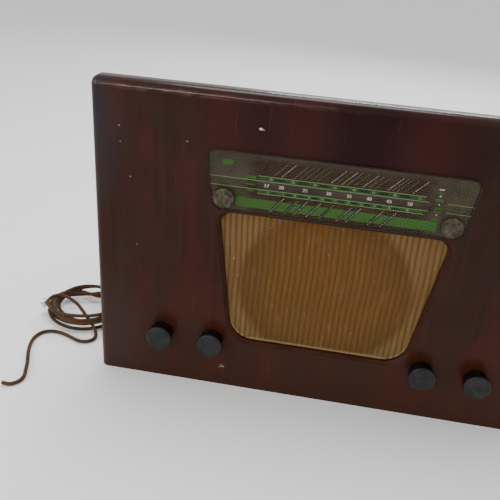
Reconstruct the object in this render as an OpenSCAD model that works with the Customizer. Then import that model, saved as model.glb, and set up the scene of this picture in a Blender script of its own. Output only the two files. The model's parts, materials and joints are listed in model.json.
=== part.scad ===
// Table radio receiver of the baffle-fronted kind: a wide veneered front panel
// with a plywood case behind it, a sloping-sided dial glass over a trapezoid
// loudspeaker grille, and four bakelite control knobs.
// Millimetres. +X to the right seen from the front, +Y to the rear, +Z up.
// Origin: middle of the front panel's bottom edge, half way through its
// thickness, on the table.

/* [Front panel] */
// Width of the front panel
panel_w = 560; // [540:1:680]
// Height of the front panel
panel_h = 384; // [370:1:470]
// Thickness of the front panel
panel_t = 20; // [18:1:24]
// Wood left in front of the loudspeaker board
panel_lip = 8; // [6:0.5:10]

/* [Grille opening] */
// Height of the opening's bottom edge above the table
grille_z = 73; // [66:1:78]
// Height of the opening
grille_h = 172; // [150:1:174]
// Width of the opening along its bottom edge
grille_w_low = 214; // [196:1:222]
// Width of the opening along its top edge
grille_w_high = 262; // [240:1:280]
// Corner radius at the bottom of the opening
grille_r_low = 30; // [16:1:40]
// Corner radius at the top of the opening
grille_r_high = 14; // [8:1:20]
// Width of the bevel round the opening
grille_bevel = 4; // [2:0.5:5]
// Margin of the loudspeaker board behind the opening's sides and bottom
board_margin = 12; // [10:1:14]

/* [Dial] */
// Height of the glass's bottom edge above the table
glass_z = 250; // [248:1:256]
// Height of the glass
glass_h = 70; // [66:1:76]
// Width of the glass along its bottom edge
glass_w_low = 278; // [270:1:320]
// Width of the glass along its top edge
glass_w_high = 294; // [286:1:336]
// Corner radius at the bottom of the glass
glass_r_low = 15.5; // [12:0.5:18]
// Corner radius at the top of the glass
glass_r_high = 10; // [6:0.5:14]
// Thickness of the glass
glass_t = 4; // [3:0.5:5]
// Diameter of the two round caps that hold the glass
cap_d = 24.4; // [20:0.1:28]
// Width of the window cut in the panel behind the glass
window_w = 235; // [220:1:240]
// Height of the window
window_h = 50; // [48:1:51]

/* [Knobs] */
// Height of the knob axes above the table
knob_z = 70.6; // [66:0.1:76]
// Distance of the outer knobs from the middle
knob_x_outer = 195.5; // [188:0.5:200]
// Distance of the inner knobs from the middle
knob_x_inner = 130.6; // [126:0.1:140]
// Diameter of a knob at its widest
knob_d = 33; // [28:0.5:38]
// Length of a knob
knob_len = 18; // [14:0.5:24]
// Diameter of the control shafts
shaft_d = 6.35; // [6:0.05:6.5]

/* [Case] */
// Width of the case behind the panel
case_w = 476; // [470:1:520]
// Height of the case's top above the table
case_top_z = 338; // [336:1:360]
// Depth of the case behind the panel
case_d = 195; // [190:1:240]
// Thickness of the case's boards
case_t = 9; // [6:0.5:10]
// Height of the rear feet
foot_h = 8; // [6:0.5:12]
// Thickness of the back cover
back_t = 3.2; // [2.5:0.1:5]

/* [Loudspeaker] */
// Height of the loudspeaker's axis above the table
speaker_z = 156; // [154:1:158]
// Diameter of the hole in the loudspeaker board
speaker_hole_d = 182; // [160:1:184]
// Diameter of the loudspeaker's rim
speaker_rim_d = 203; // [199:1:204]
// Depth of the loudspeaker's basket
basket_d = 50; // [44:1:52]
// Diameter of the loudspeaker's magnet
magnet_d = 78; // [60:1:84]

/* [Tuning] */
// Radius of the drive drum at the cord's centreline
drum_r = 58.4; // [52:0.1:59]
// Radius of the guide pulleys at the cord's centreline
pulley_r = 8.4; // [7:0.1:8.4]
// Radius of the tuning spindle's groove at the cord's centreline
spindle_r = 5.4; // [4.8:0.1:6]
// Diameter of the dial cord
dial_cord_d = 0.8; // [0.6:0.1:1]

/* [Chassis] */
// Width of the chassis
chassis_w = 430; // [428:1:450]
// Depth of the chassis
chassis_d = 90; // [88:1:96]
// Height of the chassis deck above the table
deck_z = 88; // [86:1:92]
// Thickness of the chassis sheet
sheet_t = 1.5; // [1:0.1:2]

/* [Mains cord] */
// Diameter of the braided mains cord
cord_d = 5; // [4.5:0.1:6]

/* [Hidden] */
$fn = 72;

run_gap = 0.05;                    // radial clearance of a shaft in its bush
cord_gap = 0.3;                    // between a dial cord and the groove it runs in
slip_gap = 0.1;                    // radial clearance of a screw or bush in its hole
seat_gap = 0.5;                    // clearance round a board or plate in its recess

front_y = -panel_t / 2;            // front face of the panel
rear_y = panel_t / 2;              // rear face of the panel
edge_r = panel_t / 2;              // rounding of the panel's top and side edges

// Dial
felt_t = 0.8;
glass_y = front_y - felt_t - glass_t;
cap_t = 3.2;
cap_shank_d = 5.5;
cap_inset = 15.5;                  // centre of a cap above the glass's bottom edge
cap_x = glass_w_low / 2 + (glass_w_high - glass_w_low) / 2 * cap_inset / glass_h - 15.8;
cap_z = glass_z + cap_inset;
cap_hole_gap = 0.5;
window_top_gap = 6;                // glass over the wood above the window
window_z = glass_z + glass_h - window_top_gap - window_h;
window_top = window_z + window_h;
plate_t = 1;
plate_y = front_y + panel_lip;     // front of the dial plate
plate_top = window_top - 7;
plate_bottom = window_z + 3;

// Loudspeaker board, set in a recess in the panel's rear
recess_y = front_y + panel_lip;
cloth_t = 0.8;
board_y = recess_y + cloth_t;
board_top_margin = min(board_margin, window_z - grille_z - grille_h - 10);
grille_slope = (grille_w_high - grille_w_low) / 2 / grille_h;

// Case
case_z = foot_h;
case_in_w = case_w - 2 * case_t;
case_in_top = case_top_z - case_t;
case_in_bottom = case_z + case_t;
back_y = rear_y + case_d;
back_margin = 3;
foot_d = 24;

// Chassis
chassis_y = back_y - 7 - chassis_d;
chassis_rear_y = chassis_y + chassis_d;
valve_y = chassis_y + 30;
can_y = chassis_y + 68;
bolt_x = chassis_w / 2 - 8;
bolt_ys = [chassis_y + 17, chassis_y + 52];
bolt_d = 4;

// Controls
panel_hole_d = shaft_d + 2.6;
knob_gap = 1;
knob_rear_y = front_y - knob_gap;
knob_front_y = knob_rear_y - knob_len;
bore_depth = knob_len - 4;
shaft_front_y = knob_rear_y - bore_depth + 0.5;
bush_d = 9.5;
bush_len = 8;
nut_t = 2.5;
pot_d = 28;
pot_len = 14;

// Loudspeaker
rim_t = 1.6;
cone_rim_t = 1;
flange_y = rear_y + cone_rim_t;
speaker_screw_r = speaker_rim_d / 2 - 5;
basket_y = flange_y + rim_t + basket_d;
throat_r = magnet_d / 2 + 3;

// Tuning drive; the drum stands to the right of the loudspeaker
drum_x = speaker_rim_d / 2 + drum_r + 5.1;
drum_z = max(150, knob_z + drum_r + 21);
drum_y = rear_y + 15;
drum_t = 10;
pointer_cord_y = drum_y + 3;
drive_cord_y = drum_y + 7;
groove_depth = 2;
pulley_t = 5;
pulley_z = window_top - 3;
pulley_left_x = -150;
pulley_right_x = drum_x + drum_r - pulley_r;
pulley_middle_x = drum_x - drum_r - pulley_r;
top_run_z = pulley_z + pulley_r;
low_run_z = pulley_z - pulley_r;
pulley_middle_z = low_run_z - pulley_r;
bar_y = drum_y + 11;
bar_t = 2;
rail_y = rear_y + 10;
rail_z = top_run_z + 2.6;
rail_d = 4;
pointer_travel = drum_r * PI;
pointer_x = -pointer_travel / 2 - 1.3;
rail_half = pointer_travel / 2 + 12;
bearing_y = drum_y - 8;
gang_y = chassis_y + 4;
gang_len = 68;
gang_w = 48;
gang_r = 19;
plate_pitch = 3.2;
vane_t = 1;
gang_low = drum_z - 26;

// Back cover openings
vent_w = 5;
vent_h = 32;
vent_rows = [120, case_in_top - 112, case_in_top - 62];
aerial_x = -30;
aerial_z = 55;
gland_x = -170;
gland_z = 40;
gland_d = 11;
gland_out = 4;
gland_face_y = back_y + back_t + gland_out;

// Mains cord: points of the lead from the gland to the hank, then of the
// free tail from the hank to the bare end
lead_points = [[gland_x, gland_face_y, gland_z], [gland_x, gland_face_y + 14, gland_z - 2],
  [gland_x - 5, gland_face_y + 28, gland_z - 10], [-187, gland_face_y + 38, 18],
  [-205, gland_face_y + 42, 8], [-228, gland_face_y + 38, 3], [-252, gland_face_y + 26, 3],
  [-272, gland_face_y + 7, 3], [-285, 196, 3], [-292, 172, 4], [-295, 150, 6], [-296, 128, 8]];
tail_points = [[-321, 60, 12], [-311.5, 50, 6], [-309.5, 40, 3], [-315, 31, 3], [-325.5, 28, 3],
  [-337, 31.5, 3], [-350, 37, 3], [-363, 40.5, 3], [-376, 40, 3], [-386, 33, 3], [-390, 20, 3],
  [-388, 4, 3], [-382, -14, 3], [-374, -32, 3], [-367.5, -50, 3], [-364.3, -62, 3],
  [-366.8, -72.5, 3], [-375, -79.8, 3], [-386, -80, 3]];
hank_pos = [-350, 108];
hank_r = 60;
hank_r_in = 24;
hank_h = 26;
cord_sides = 8;
dial_cord_sides = 8;

// ---- helpers -------------------------------------------------------------

// Extrudes an outline drawn in x and z along Y, from y0 to y1
module slab(y0, y1) translate([0, y1, 0]) rotate([90, 0, 0]) linear_extrude(y1 - y0) children();

// Cylinder along Y
module rod_y(d, y0, y1, x = 0, z = 0)
  translate([x, y0, z]) rotate([-90, 0, 0]) cylinder(d = d, h = y1 - y0);

// Solid of revolution about the Y axis; the profile has radius along x and +Y along y
module turned_y(x = 0, y = 0, z = 0) translate([x, y, z]) rotate([-90, 0, 0]) rotate_extrude() children();

// Box given by its low and high corners
module box(a, b) translate(a) cube(b - a);

// Trapezoid outline with round corners, symmetrical about x = 0
module trapezoid(z0, z1, w0, w1, r0, r1) {
  lean = atan((w1 - w0) / 2 / (z1 - z0));
  x0 = w0 / 2 + r0 * tan(lean) - r0 / cos(lean);
  x1 = w1 / 2 - r1 * tan(lean) - r1 / cos(lean);
  hull() for (s = [-1, 1]) {
    translate([s * x0, z0 + r0]) circle(r = r0, $fn = 48);
    translate([s * x1, z1 - r1]) circle(r = r1, $fn = 48);
  }
}

// The grille's outline grown by g at its sides and bottom, and by t at its top
module grille_outline(g, t) trapezoid(grille_z - g, grille_z + grille_h + t,
  grille_w_low + 2 * g * (1 - grille_slope), grille_w_high + 2 * g + 2 * t * grille_slope,
  grille_r_low + g / 2, grille_r_high + g / 2);

// The glass's outline grown by g all round
module glass_outline(g) trapezoid(glass_z - g, glass_z + glass_h + g, glass_w_low + 2 * g,
  glass_w_high + 2 * g, glass_r_low + g, glass_r_high + g);

// Points of an arc about c in an x-z plane, angles from +X towards +Z
function arc(c, r, a0, a1, n) = [for (k = [0 : n]) let (t = a0 + (a1 - a0) * k / n) c + r * [cos(t), sin(t)]];

// Thin cord run clockwise round the points p of the x-z plane at y
module dial_loop(p, y) {
  n = len(p);
  s = dial_cord_sides;
  r = dial_cord_d / 2;
  polyhedron(
    [for (i = [0 : n - 1], k = [0 : s - 1]) let (t = unit(p[(i + 1) % n] - p[(i + n - 1) % n]), q = 360 * k / s)
      [p[i][0] - r * cos(q) * t[1], y + r * sin(q), p[i][1] + r * cos(q) * t[0]]],
    [for (i = [0 : n - 1], k = [0 : s - 1])
      [i * s + k, (i + 1) % n * s + k, (i + 1) % n * s + (k + 1) % s, i * s + (k + 1) % s]]);
}

// Point i of p, or the nearest end's point where i runs past it
function at(p, i) = p[max(0, min(len(p) - 1, i))];
// Point on a Catmull-Rom curve through the points p, at stretch i and share t
function curve(p, i, t) = 0.5 * (2 * at(p, i) + (at(p, i + 1) - at(p, i - 1)) * t
  + (2 * at(p, i - 1) - 5 * at(p, i) + 4 * at(p, i + 1) - at(p, i + 2)) * t * t
  + (3 * at(p, i) - at(p, i - 1) - 3 * at(p, i + 1) + at(p, i + 2)) * t * t * t);
function unit(v) = v / norm(v);
// Ring of points of the cord's radius about c, square to the direction d
function cord_ring(c, d) = let (s = unit(cross(d, [0, 0, 1])), u = cross(s, d))
  [for (k = [0 : cord_sides - 1]) c + cord_d / 2 * (cos(360 * k / cord_sides) * s
    + sin(360 * k / cord_sides) * u)];

// Tube of the cord's diameter swept along the points p, two rings to a stretch
module cord_tube(p) {
  line = [for (i = [0 : len(p) - 2], t = [0, 0.5]) curve(p, i, t), p[len(p) - 1]];
  n = len(line);
  rings = [for (i = [0 : n - 1]) cord_ring(line[i], unit(line[min(i + 1, n - 1)] - line[max(i - 1, 0)]))];
  s = cord_sides;
  polyhedron([for (r = rings, q = r) q], concat(
    [[for (k = [0 : s - 1]) k]], [[for (k = [s - 1 : -1 : 0]) (n - 1) * s + k]],
    [for (i = [0 : n - 2], k = [0 : s - 1])
      [i * s + k, (i + 1) * s + k, (i + 1) * s + (k + 1) % s, i * s + (k + 1) % s]]));
}

// ---- front ---------------------------------------------------------------

module front_panel() color("saddlebrown") difference() {
  union() {
    box([-panel_w / 2 + edge_r, front_y, 0], [panel_w / 2 - edge_r, rear_y, panel_h - edge_r]);
    box([-panel_w / 2, 0, 0], [panel_w / 2, rear_y, panel_h - edge_r]);
    box([-panel_w / 2 + edge_r, 0, 0], [panel_w / 2 - edge_r, rear_y, panel_h]);
    translate([-panel_w / 2 + edge_r, 0, panel_h - edge_r]) rotate([0, 90, 0])
      cylinder(r = edge_r, h = panel_w - 2 * edge_r);
    for (s = [-1, 1]) translate([s * (panel_w / 2 - edge_r), 0, 0]) {
      cylinder(r = edge_r, h = panel_h - edge_r);
      translate([0, 0, panel_h - edge_r]) sphere(r = edge_r);
      rod_y(2 * edge_r, 0, rear_y, 0, panel_h - edge_r);
    }
  }
  slab(front_y - 1, rear_y) grille_outline(0, 0);
  hull() {
    slab(front_y - 0.01, front_y) grille_outline(grille_bevel, min(grille_bevel, 2));
    slab(front_y + grille_bevel, front_y + grille_bevel + 0.01) grille_outline(0, 0);
  }
  slab(recess_y, rear_y + 1) grille_outline(board_margin + seat_gap, board_top_margin + seat_gap);
  slab(front_y - 1, rear_y + 1) translate([0, window_z]) hull()
    for (x = [-1, 1], z = [6, window_h - 6]) translate([x * (window_w / 2 - 6), z]) circle(r = 6);
  for (x = [-knob_x_outer, -knob_x_inner, knob_x_inner, knob_x_outer])
    rod_y(panel_hole_d, front_y - 1, rear_y + 1, x, knob_z);
  for (s = [-1, 1]) rod_y(cap_shank_d + 2 * slip_gap, front_y - 1, 1, s * cap_x, cap_z);
}

module speaker_board() color("tan") difference() {
  slab(board_y, rear_y) grille_outline(board_margin, board_top_margin);
  rod_y(speaker_hole_d, board_y - 1, rear_y + 1, 0, speaker_z);
  for (a = [45 : 90 : 315]) rod_y(4, rear_y - 6, rear_y + 1,
    speaker_screw_r * cos(a), speaker_z + speaker_screw_r * sin(a));
}

module speaker_cloth() color("goldenrod")
  slab(recess_y, board_y) grille_outline(board_margin, board_top_margin);

module dial_glass() color("darkolivegreen", 0.6) difference() {
  slab(glass_y, glass_y + glass_t) glass_outline(0);
  for (s = [-1, 1]) rod_y(cap_shank_d + 2 * cap_hole_gap, glass_y - 1, front_y, s * cap_x, cap_z);
}

module glass_caps() color("silver") for (s = [-1, 1]) turned_y(s * cap_x, glass_y - cap_t, cap_z)
  polygon([[0, 0], [cap_d / 2 - 3, 0], [cap_d / 2 - 1, 0.7], [cap_d / 2, 2], [cap_d / 2, cap_t],
    [cap_shank_d / 2, cap_t], [cap_shank_d / 2, cap_t + glass_t + felt_t + panel_t / 2 - 1], [0,
    cap_t + glass_t + felt_t + panel_t / 2]]);

module glass_washers() color("darkslategray") for (s = [-1, 1]) difference() {
  rod_y(cap_d - 6, front_y - felt_t, front_y, s * cap_x, cap_z);
  rod_y(cap_shank_d + 2 * cap_hole_gap, front_y - 2, front_y + 1, s * cap_x, cap_z);
}

module dial_plate() color("dimgray") {
  w = window_w - 2 * seat_gap - 2;
  slab(plate_y, plate_y + plate_t) translate([-w / 2, plate_bottom]) square([w, plate_top - plate_bottom]);
  for (s = [0, 1], z = [plate_bottom, plate_top - 9]) mirror([s, 0, 0]) difference() {
    union() {
      box([w / 2 - plate_t, plate_y, z], [w / 2, rear_y + plate_t, z + 9]);
      box([w / 2 - plate_t, rear_y, z], [w / 2 + 14, rear_y + plate_t, z + 9]);
    }
    rod_y(3.2, rear_y - 1, rear_y + 2, w / 2 + 8, z + 4.5);
  }
}

// ---- knobs and controls --------------------------------------------------

// Fluted knob with a domed face and a blind bore for its shaft
module knob(x) color([0.2, 0.2, 0.2]) difference() {
  turned_y(x, knob_front_y, knob_z) polygon(concat(
    [[0, 0]],
    [for (a = [0 : 10 : 90]) [knob_d / 2 - 2.5 + 2.5 * sin(a), 3.5 - 2.5 * cos(a)]],
    [[knob_d / 2 - 0.4, 6], [knob_d / 2 - 2.2, knob_len - 0.6], [knob_d / 2 - 2.8, knob_len], [0, knob_len]]));
  rod_y(shaft_d + 2 * run_gap, knob_rear_y - bore_depth, knob_rear_y + 1, x, knob_z);
  for (a = [0 : 20 : 340]) rod_y(3, knob_front_y + 4.5, knob_rear_y + 1,
    x + (knob_d / 2 + 0.6) * cos(a), knob_z + (knob_d / 2 + 0.6) * sin(a));
}
module volume_knob() knob(-knob_x_outer);
module tone_knob() knob(-knob_x_inner);
module band_knob() knob(knob_x_inner);
module tuning_knob() knob(knob_x_outer);

module control_shaft(x, y1) color("lightgray") rod_y(shaft_d, shaft_front_y, y1, x, knob_z);
module volume_shaft() control_shaft(-knob_x_outer, chassis_y + sheet_t + pot_len - 3);
module tone_shaft() control_shaft(-knob_x_inner, chassis_y + sheet_t + pot_len - 3);
module band_shaft() control_shaft(knob_x_inner, chassis_y + 34);

// Threaded bush that a control's shaft turns in, behind its hex nut
module control_bush(x) rod_y(bush_d, chassis_y - bush_len, chassis_y + sheet_t, x, knob_z);

module pot(x) color("dimgray") difference() {
  union() {
    control_bush(x);
    rod_y(pot_d, chassis_y + sheet_t, chassis_y + sheet_t + pot_len, x, knob_z);
    for (i = [-1, 0, 1]) box([x + i * 7 - 1.5, chassis_y + sheet_t + 2, knob_z - pot_d / 2 - 7],
      [x + i * 7 + 1.5, chassis_y + sheet_t + 3, knob_z - pot_d / 2 + 5]);
  }
  rod_y(shaft_d + 2 * run_gap, chassis_y - bush_len - 1, chassis_y + sheet_t + pot_len - 2, x, knob_z);
}
module volume_pot() pot(-knob_x_outer);
module tone_pot() pot(-knob_x_inner);

module band_switch() color("sienna") difference() {
  union() {
    control_bush(knob_x_inner);
    rod_y(30, chassis_y + sheet_t, chassis_y + 8, knob_x_inner, knob_z);
    rod_y(30, chassis_y + 26, chassis_y + 28, knob_x_inner, knob_z);
    for (s = [-1, 1]) rod_y(4, chassis_y + 7, chassis_y + 27, knob_x_inner + s * 12, knob_z);
  }
  rod_y(shaft_d + 2 * run_gap, chassis_y - bush_len - 1, chassis_y + 40, knob_x_inner, knob_z);
}

module control_nuts() color("silver") for (x = [-knob_x_outer, -knob_x_inner, knob_x_inner, knob_x_outer])
  difference() {
    translate([x, chassis_y - nut_t, knob_z]) rotate([-90, 0, 0]) cylinder(d = 14.6, h = nut_t, $fn = 6);
    rod_y(bush_d + 2 * slip_gap, chassis_y - nut_t - 1, chassis_y + 1, x, knob_z);
  }

module spindle_bush() color("peru") difference() {
  union() {
    control_bush(knob_x_outer);
    rod_y(14, chassis_y + sheet_t, chassis_y + 6, knob_x_outer, knob_z);
  }
  rod_y(shaft_d + 2 * run_gap, chassis_y - bush_len - 1, chassis_y + 7, knob_x_outer, knob_z);
}

// Tuning spindle with the grooved collar that drives the cord
module tuning_spindle() color("lightgray") {
  control_shaft(knob_x_outer, chassis_y + 12);
  turned_y(knob_x_outer, drive_cord_y, knob_z) {
    g = spindle_r - dial_cord_d / 2 - cord_gap;
    polygon([[0, -4], [g + groove_depth, -4], [g + groove_depth, -3], [g, -1.2], [g, 1.2],
      [g + groove_depth, 3], [g + groove_depth, 4], [0, 4]]);
  }
}

// ---- tuning drive --------------------------------------------------------

module drive_drum() color("gainsboro") difference() {
  turned_y(drum_x, drum_y, drum_z) {
    r = drum_r - dial_cord_d / 2 - cord_gap;
    polygon([[0, 0], [r + groove_depth, 0], [r + groove_depth, 1], [r, 2.4], [r, 3.6], [r + groove_depth, 4.8],
      [r + groove_depth, 5.2], [r, 6.4], [r, 7.6], [r + groove_depth, 9], [r + groove_depth, drum_t],
      [r - 5, drum_t], [r - 5, 4], [11, 4], [11, drum_t + 6], [0, drum_t + 6]]);
  }
  rod_y(shaft_d + 2 * run_gap, drum_y - 1, drum_y + drum_t + 7, drum_x, drum_z);
  for (a = [30 : 60 : 330]) rod_y(drum_r * 0.4, drum_y - 1, drum_y + drum_t,
    drum_x + drum_r * 0.58 * cos(a), drum_z + drum_r * 0.58 * sin(a));
}

module half_disc(y, r) intersection() {
  rod_y(2 * r, y, y + vane_t, drum_x, drum_z);
  box([drum_x - r - 1, y - 1, drum_z], [drum_x + r + 1, y + 3, drum_z + r + 1]);
}

function vane_y(section, i) = gang_y + 7 + section * 31 + i * plate_pitch;

module gang_rotor() color("gainsboro") {
  rod_y(shaft_d, bearing_y - 2, gang_y + gang_len + 3, drum_x, drum_z);
  for (s = [0, 1]) {
    rod_y(11, vane_y(s, 0) - 1, vane_y(s, 6) + 2, drum_x, drum_z);
    for (i = [0 : 6]) half_disc(vane_y(s, i), gang_r);
  }
}

module gang_stator() color("gainsboro") {
  for (s = [0, 1], i = [0 : 5]) difference() {
    slab(vane_y(s, i) + 2.1 - vane_t / 2, vane_y(s, i) + 2.1 + vane_t / 2)
      translate([drum_x - gang_w / 2 + 3, gang_low + 3]) square([gang_w - 6, 17]);
    rod_y(17, vane_y(s, i), vane_y(s, i) + 4, drum_x, drum_z);
  }
  for (s = [-1, 1]) rod_y(4, gang_y + 2, gang_y + gang_len - 2, drum_x + s * (gang_w / 2 - 5), gang_low + 5);
}

module gang_frame() color("silver") difference() {
  union() {
    box([drum_x - gang_w / 2, gang_y, gang_low], [drum_x + gang_w / 2, gang_y + gang_len, gang_low + 2]);
    for (y = [gang_y, gang_y + gang_len - 2])
      box([drum_x - gang_w / 2, y, gang_low], [drum_x + gang_w / 2, y + 2, drum_z + 12]);
  }
  rod_y(shaft_d + 2 * run_gap, gang_y - 1, gang_y + gang_len + 1, drum_x, drum_z);
}

module gang_bracket() color("silver") {
  box([drum_x - gang_w / 2, gang_y, gang_low - 2], [drum_x + gang_w / 2, gang_y + gang_len, gang_low]);
  for (x = [drum_x - gang_w / 2, drum_x + gang_w / 2 - 2])
    box([x, gang_y, deck_z], [x + 2, gang_y + gang_len, gang_low - 1]);
}

// Hat-shaped bracket on the panel that carries the front bearings
module drum_bracket() color("silver") difference() {
  x0 = drum_x - 15;
  x1 = knob_x_outer + 17;
  z0 = knob_z - 12;
  z1 = drum_z + 15;
  union() {
    box([x0, bearing_y, z0], [x1, bearing_y + 2, z1]);
    for (x = [x0, x1 - 2]) box([x, rear_y, z0 + 20], [x + 2, bearing_y + 1, z1]);
    rod_y(13, bearing_y - 3, bearing_y + 4, drum_x, drum_z);
    rod_y(13, bearing_y - 3, bearing_y + 4, knob_x_outer, knob_z);
  }
  rod_y(shaft_d + 2 * run_gap, bearing_y - 4, bearing_y + 5, drum_x, drum_z);
  rod_y(shaft_d + 2 * run_gap, bearing_y - 4, bearing_y + 5, knob_x_outer, knob_z);
}

module guide_pulley(x, z) color("ivory") difference() {
  turned_y(x, pointer_cord_y, z) {
    g = pulley_r - dial_cord_d / 2 - cord_gap;
    polygon([[0, -pulley_t / 2], [g + 1.5, -pulley_t / 2], [g + 1.5, -2], [g, -0.7], [g, 0.7], [g + 1.5, 2],
      [g + 1.5, pulley_t / 2], [0, pulley_t / 2]]);
  }
  rod_y(4 + 2 * run_gap, drum_y - 2, bar_y, x, z);
}
module pulley_left() guide_pulley(pulley_left_x, pulley_z);
module pulley_right() guide_pulley(pulley_right_x, pulley_z);
module pulley_middle() guide_pulley(pulley_middle_x, pulley_middle_z);

// Steel bar behind the dial with the pulleys' pins and its own spacers
module pulley_bar() color("silver") {
  box([pulley_left_x - 12, bar_y, pulley_middle_z - 14], [pulley_right_x + 6, bar_y + bar_t, pulley_z + 8]);
  for (p = [[pulley_left_x, pulley_z], [pulley_right_x, pulley_z], [pulley_middle_x, pulley_middle_z]]) {
    rod_y(4, pointer_cord_y - pulley_t / 2 - 0.3, bar_y + 1, p[0], p[1]);
    rod_y(7, pointer_cord_y + pulley_t / 2 + 0.3, bar_y + 1, p[0], p[1]);
    rod_y(7, pointer_cord_y - pulley_t / 2 - 1.3, pointer_cord_y - pulley_t / 2 - 0.3, p[0], p[1]);
  }
  for (x = [pulley_left_x + 10, -40, pulley_middle_x + 46]) rod_y(8, rear_y, bar_y + 1, x, pulley_middle_z - 8);
}

module pointer_rail() color("silver") {
  translate([-rail_half, rail_y, rail_z]) rotate([0, 90, 0]) cylinder(d = rail_d, h = 2 * rail_half);
  for (s = [-1, 1]) {
    x = s * (rail_half - 1);
    box([x - 1, rear_y, rail_z - 5], [x + 1, rail_y + 4, rail_z + 4]);
  }
}

// Pointer with its slide, the fork on the cord and the needle before the plate
module pointer() color("ivory") translate([pointer_x, 0, 0]) difference() {
  union() {
    box([-8, rail_y - 4, top_run_z - 3], [8, rail_y + 5, rail_z + 4.5]);
    box([-5, rail_y + 4, top_run_z - 3], [5, pointer_cord_y + 2, top_run_z + 3]);
    box([-1.5, rail_y - 5, plate_top + 2.5], [1.5, rail_y - 3, top_run_z]);
    box([-1.5, front_y + 2.5, plate_top + 2.5], [1.5, rail_y - 3, plate_top + 5]);
    box([-0.6, front_y + 2.5, plate_bottom + 2], [0.6, front_y + 3.5, plate_top + 5]);
  }
  translate([-9, rail_y, rail_z]) rotate([0, 90, 0]) cylinder(d = rail_d + 2 * run_gap, h = 18);
  box([-9, pointer_cord_y - 1.2, top_run_z - dial_cord_d], [9, pointer_cord_y + 3, top_run_z + dial_cord_d]);
}

module pointer_cord() color("khaki") dial_loop(concat(
  arc([pulley_left_x, pulley_z], pulley_r, 270, 90, 8), arc([pulley_right_x, pulley_z], pulley_r, 90, 0, 5),
  arc([drum_x, drum_z], drum_r, 0, -180, 24), arc([pulley_middle_x, pulley_middle_z], pulley_r, 0, 90, 5)),
  pointer_cord_y);

// Cord from the tuning spindle's groove round the drum
module drive_cord() color("khaki") {
  c1 = [drum_x, drum_z];
  c2 = [knob_x_outer, knob_z];
  a = atan2(c2[1] - c1[1], c2[0] - c1[0]);
  b = acos((drum_r - spindle_r) / norm(c2 - c1));
  dial_loop(concat(arc(c1, drum_r, a - b + 360, a + b, 30), arc(c2, spindle_r, a + b, a - b, 8)), drive_cord_y);
}

module dial_lamps() color("khaki") for (s = [-1, 1]) turned_y(s * (window_w / 2 - 2.5), rear_y + 3, pulley_middle_z - 9)
  polygon(concat([for (a = [0 : 15 : 90]) [5.5 * sin(a), 5.5 - 5.5 * cos(a)]], [[4.6, 11], [0, 11]]));

module lamp_holders() color("peru") for (s = [-1, 1]) difference() {
  rod_y(12, rear_y + 13, bar_y, s * (window_w / 2 - 2.5), pulley_middle_z - 9);
  rod_y(9.6, rear_y + 12, rear_y + 14.2, s * (window_w / 2 - 2.5), pulley_middle_z - 9);
}

// ---- loudspeaker ---------------------------------------------------------

module speaker_frame() color("darkslategray") difference() {
  turned_y(0, flange_y, speaker_z) {
    r = speaker_hole_d / 2 + 1;
    polygon([[r, 0], [speaker_rim_d / 2, 0], [speaker_rim_d / 2, rim_t], [r + 1, rim_t],
      [throat_r, rim_t + basket_d - 1.5], [throat_r, rim_t + basket_d], [21, rim_t + basket_d],
      [21, rim_t + basket_d - 1.5], [throat_r - 2, rim_t + basket_d - 1.5], [r - 1, rim_t]]);
  }
  for (a = [0 : 90 : 270]) translate([0, flange_y + rim_t + 6, speaker_z]) rotate([0, a, 0])
    box([-16, 0, throat_r + 4], [16, basket_d - 14, speaker_rim_d / 2]);
  for (a = [45 : 90 : 315]) rod_y(4.4, rear_y, flange_y + rim_t + 1,
    speaker_screw_r * cos(a), speaker_z + speaker_screw_r * sin(a));
}

// Paper cone with its rolled surround and dust cap
module speaker_cone() color("dimgray") turned_y(0, rear_y, speaker_z) {
  r = speaker_hole_d / 2 - 1;
  d = basket_d - 8;
  polygon([[r - 6, 0], [r + 4, 0], [r + 4, cone_rim_t], [r - 6, cone_rim_t], [r - 9, 3],
    [18, d], [18, d - 5], [12, d - 8], [0, d - 9.5], [0, d - 10.5], [12, d - 9], [19, d - 6], [r - 9.5, 2]]);
}

module speaker_magnet() color("slategray") turned_y(0, basket_y, speaker_z)
  polygon([[0, -4], [9, -4], [9, 0], [magnet_d / 2 - 1, 0], [magnet_d / 2, 1], [magnet_d / 2, 27], [magnet_d / 2 - 3, 30],
    [0, 30]]);

module speaker_screws() color("silver") for (a = [45 : 90 : 315])
  translate([speaker_screw_r * cos(a), 0, speaker_z + speaker_screw_r * sin(a)]) {
    rod_y(3.8, rear_y - 5.5, flange_y + rim_t);
    rod_y(6, flange_y + rim_t, flange_y + rim_t + 2.4);
  }

// ---- case ----------------------------------------------------------------

module case_top() color("sienna")
  box([-case_w / 2, rear_y, case_in_top], [case_w / 2, back_y, case_top_z]);

module case_bottom() color("sienna") difference() {
  box([-case_w / 2, rear_y, case_z], [case_w / 2, back_y, case_in_bottom]);
  for (s = [-1, 1], y = bolt_ys) translate([s * bolt_x, y, case_z - 1])
    cylinder(d = bolt_d + 0.5, h = case_t + 2);
}

module case_side() box([case_in_w / 2, rear_y, case_in_bottom], [case_w / 2, back_y, case_in_top]);
module case_left_side() color("sienna") mirror([1, 0, 0]) case_side();
module case_right_side() color("sienna") case_side();

back_screw_spots = [for (x = [-1, 0, 1], z = [case_z + case_t / 2, case_top_z - case_t / 2])
  [x * (case_w / 2 - 30), z]];

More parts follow.
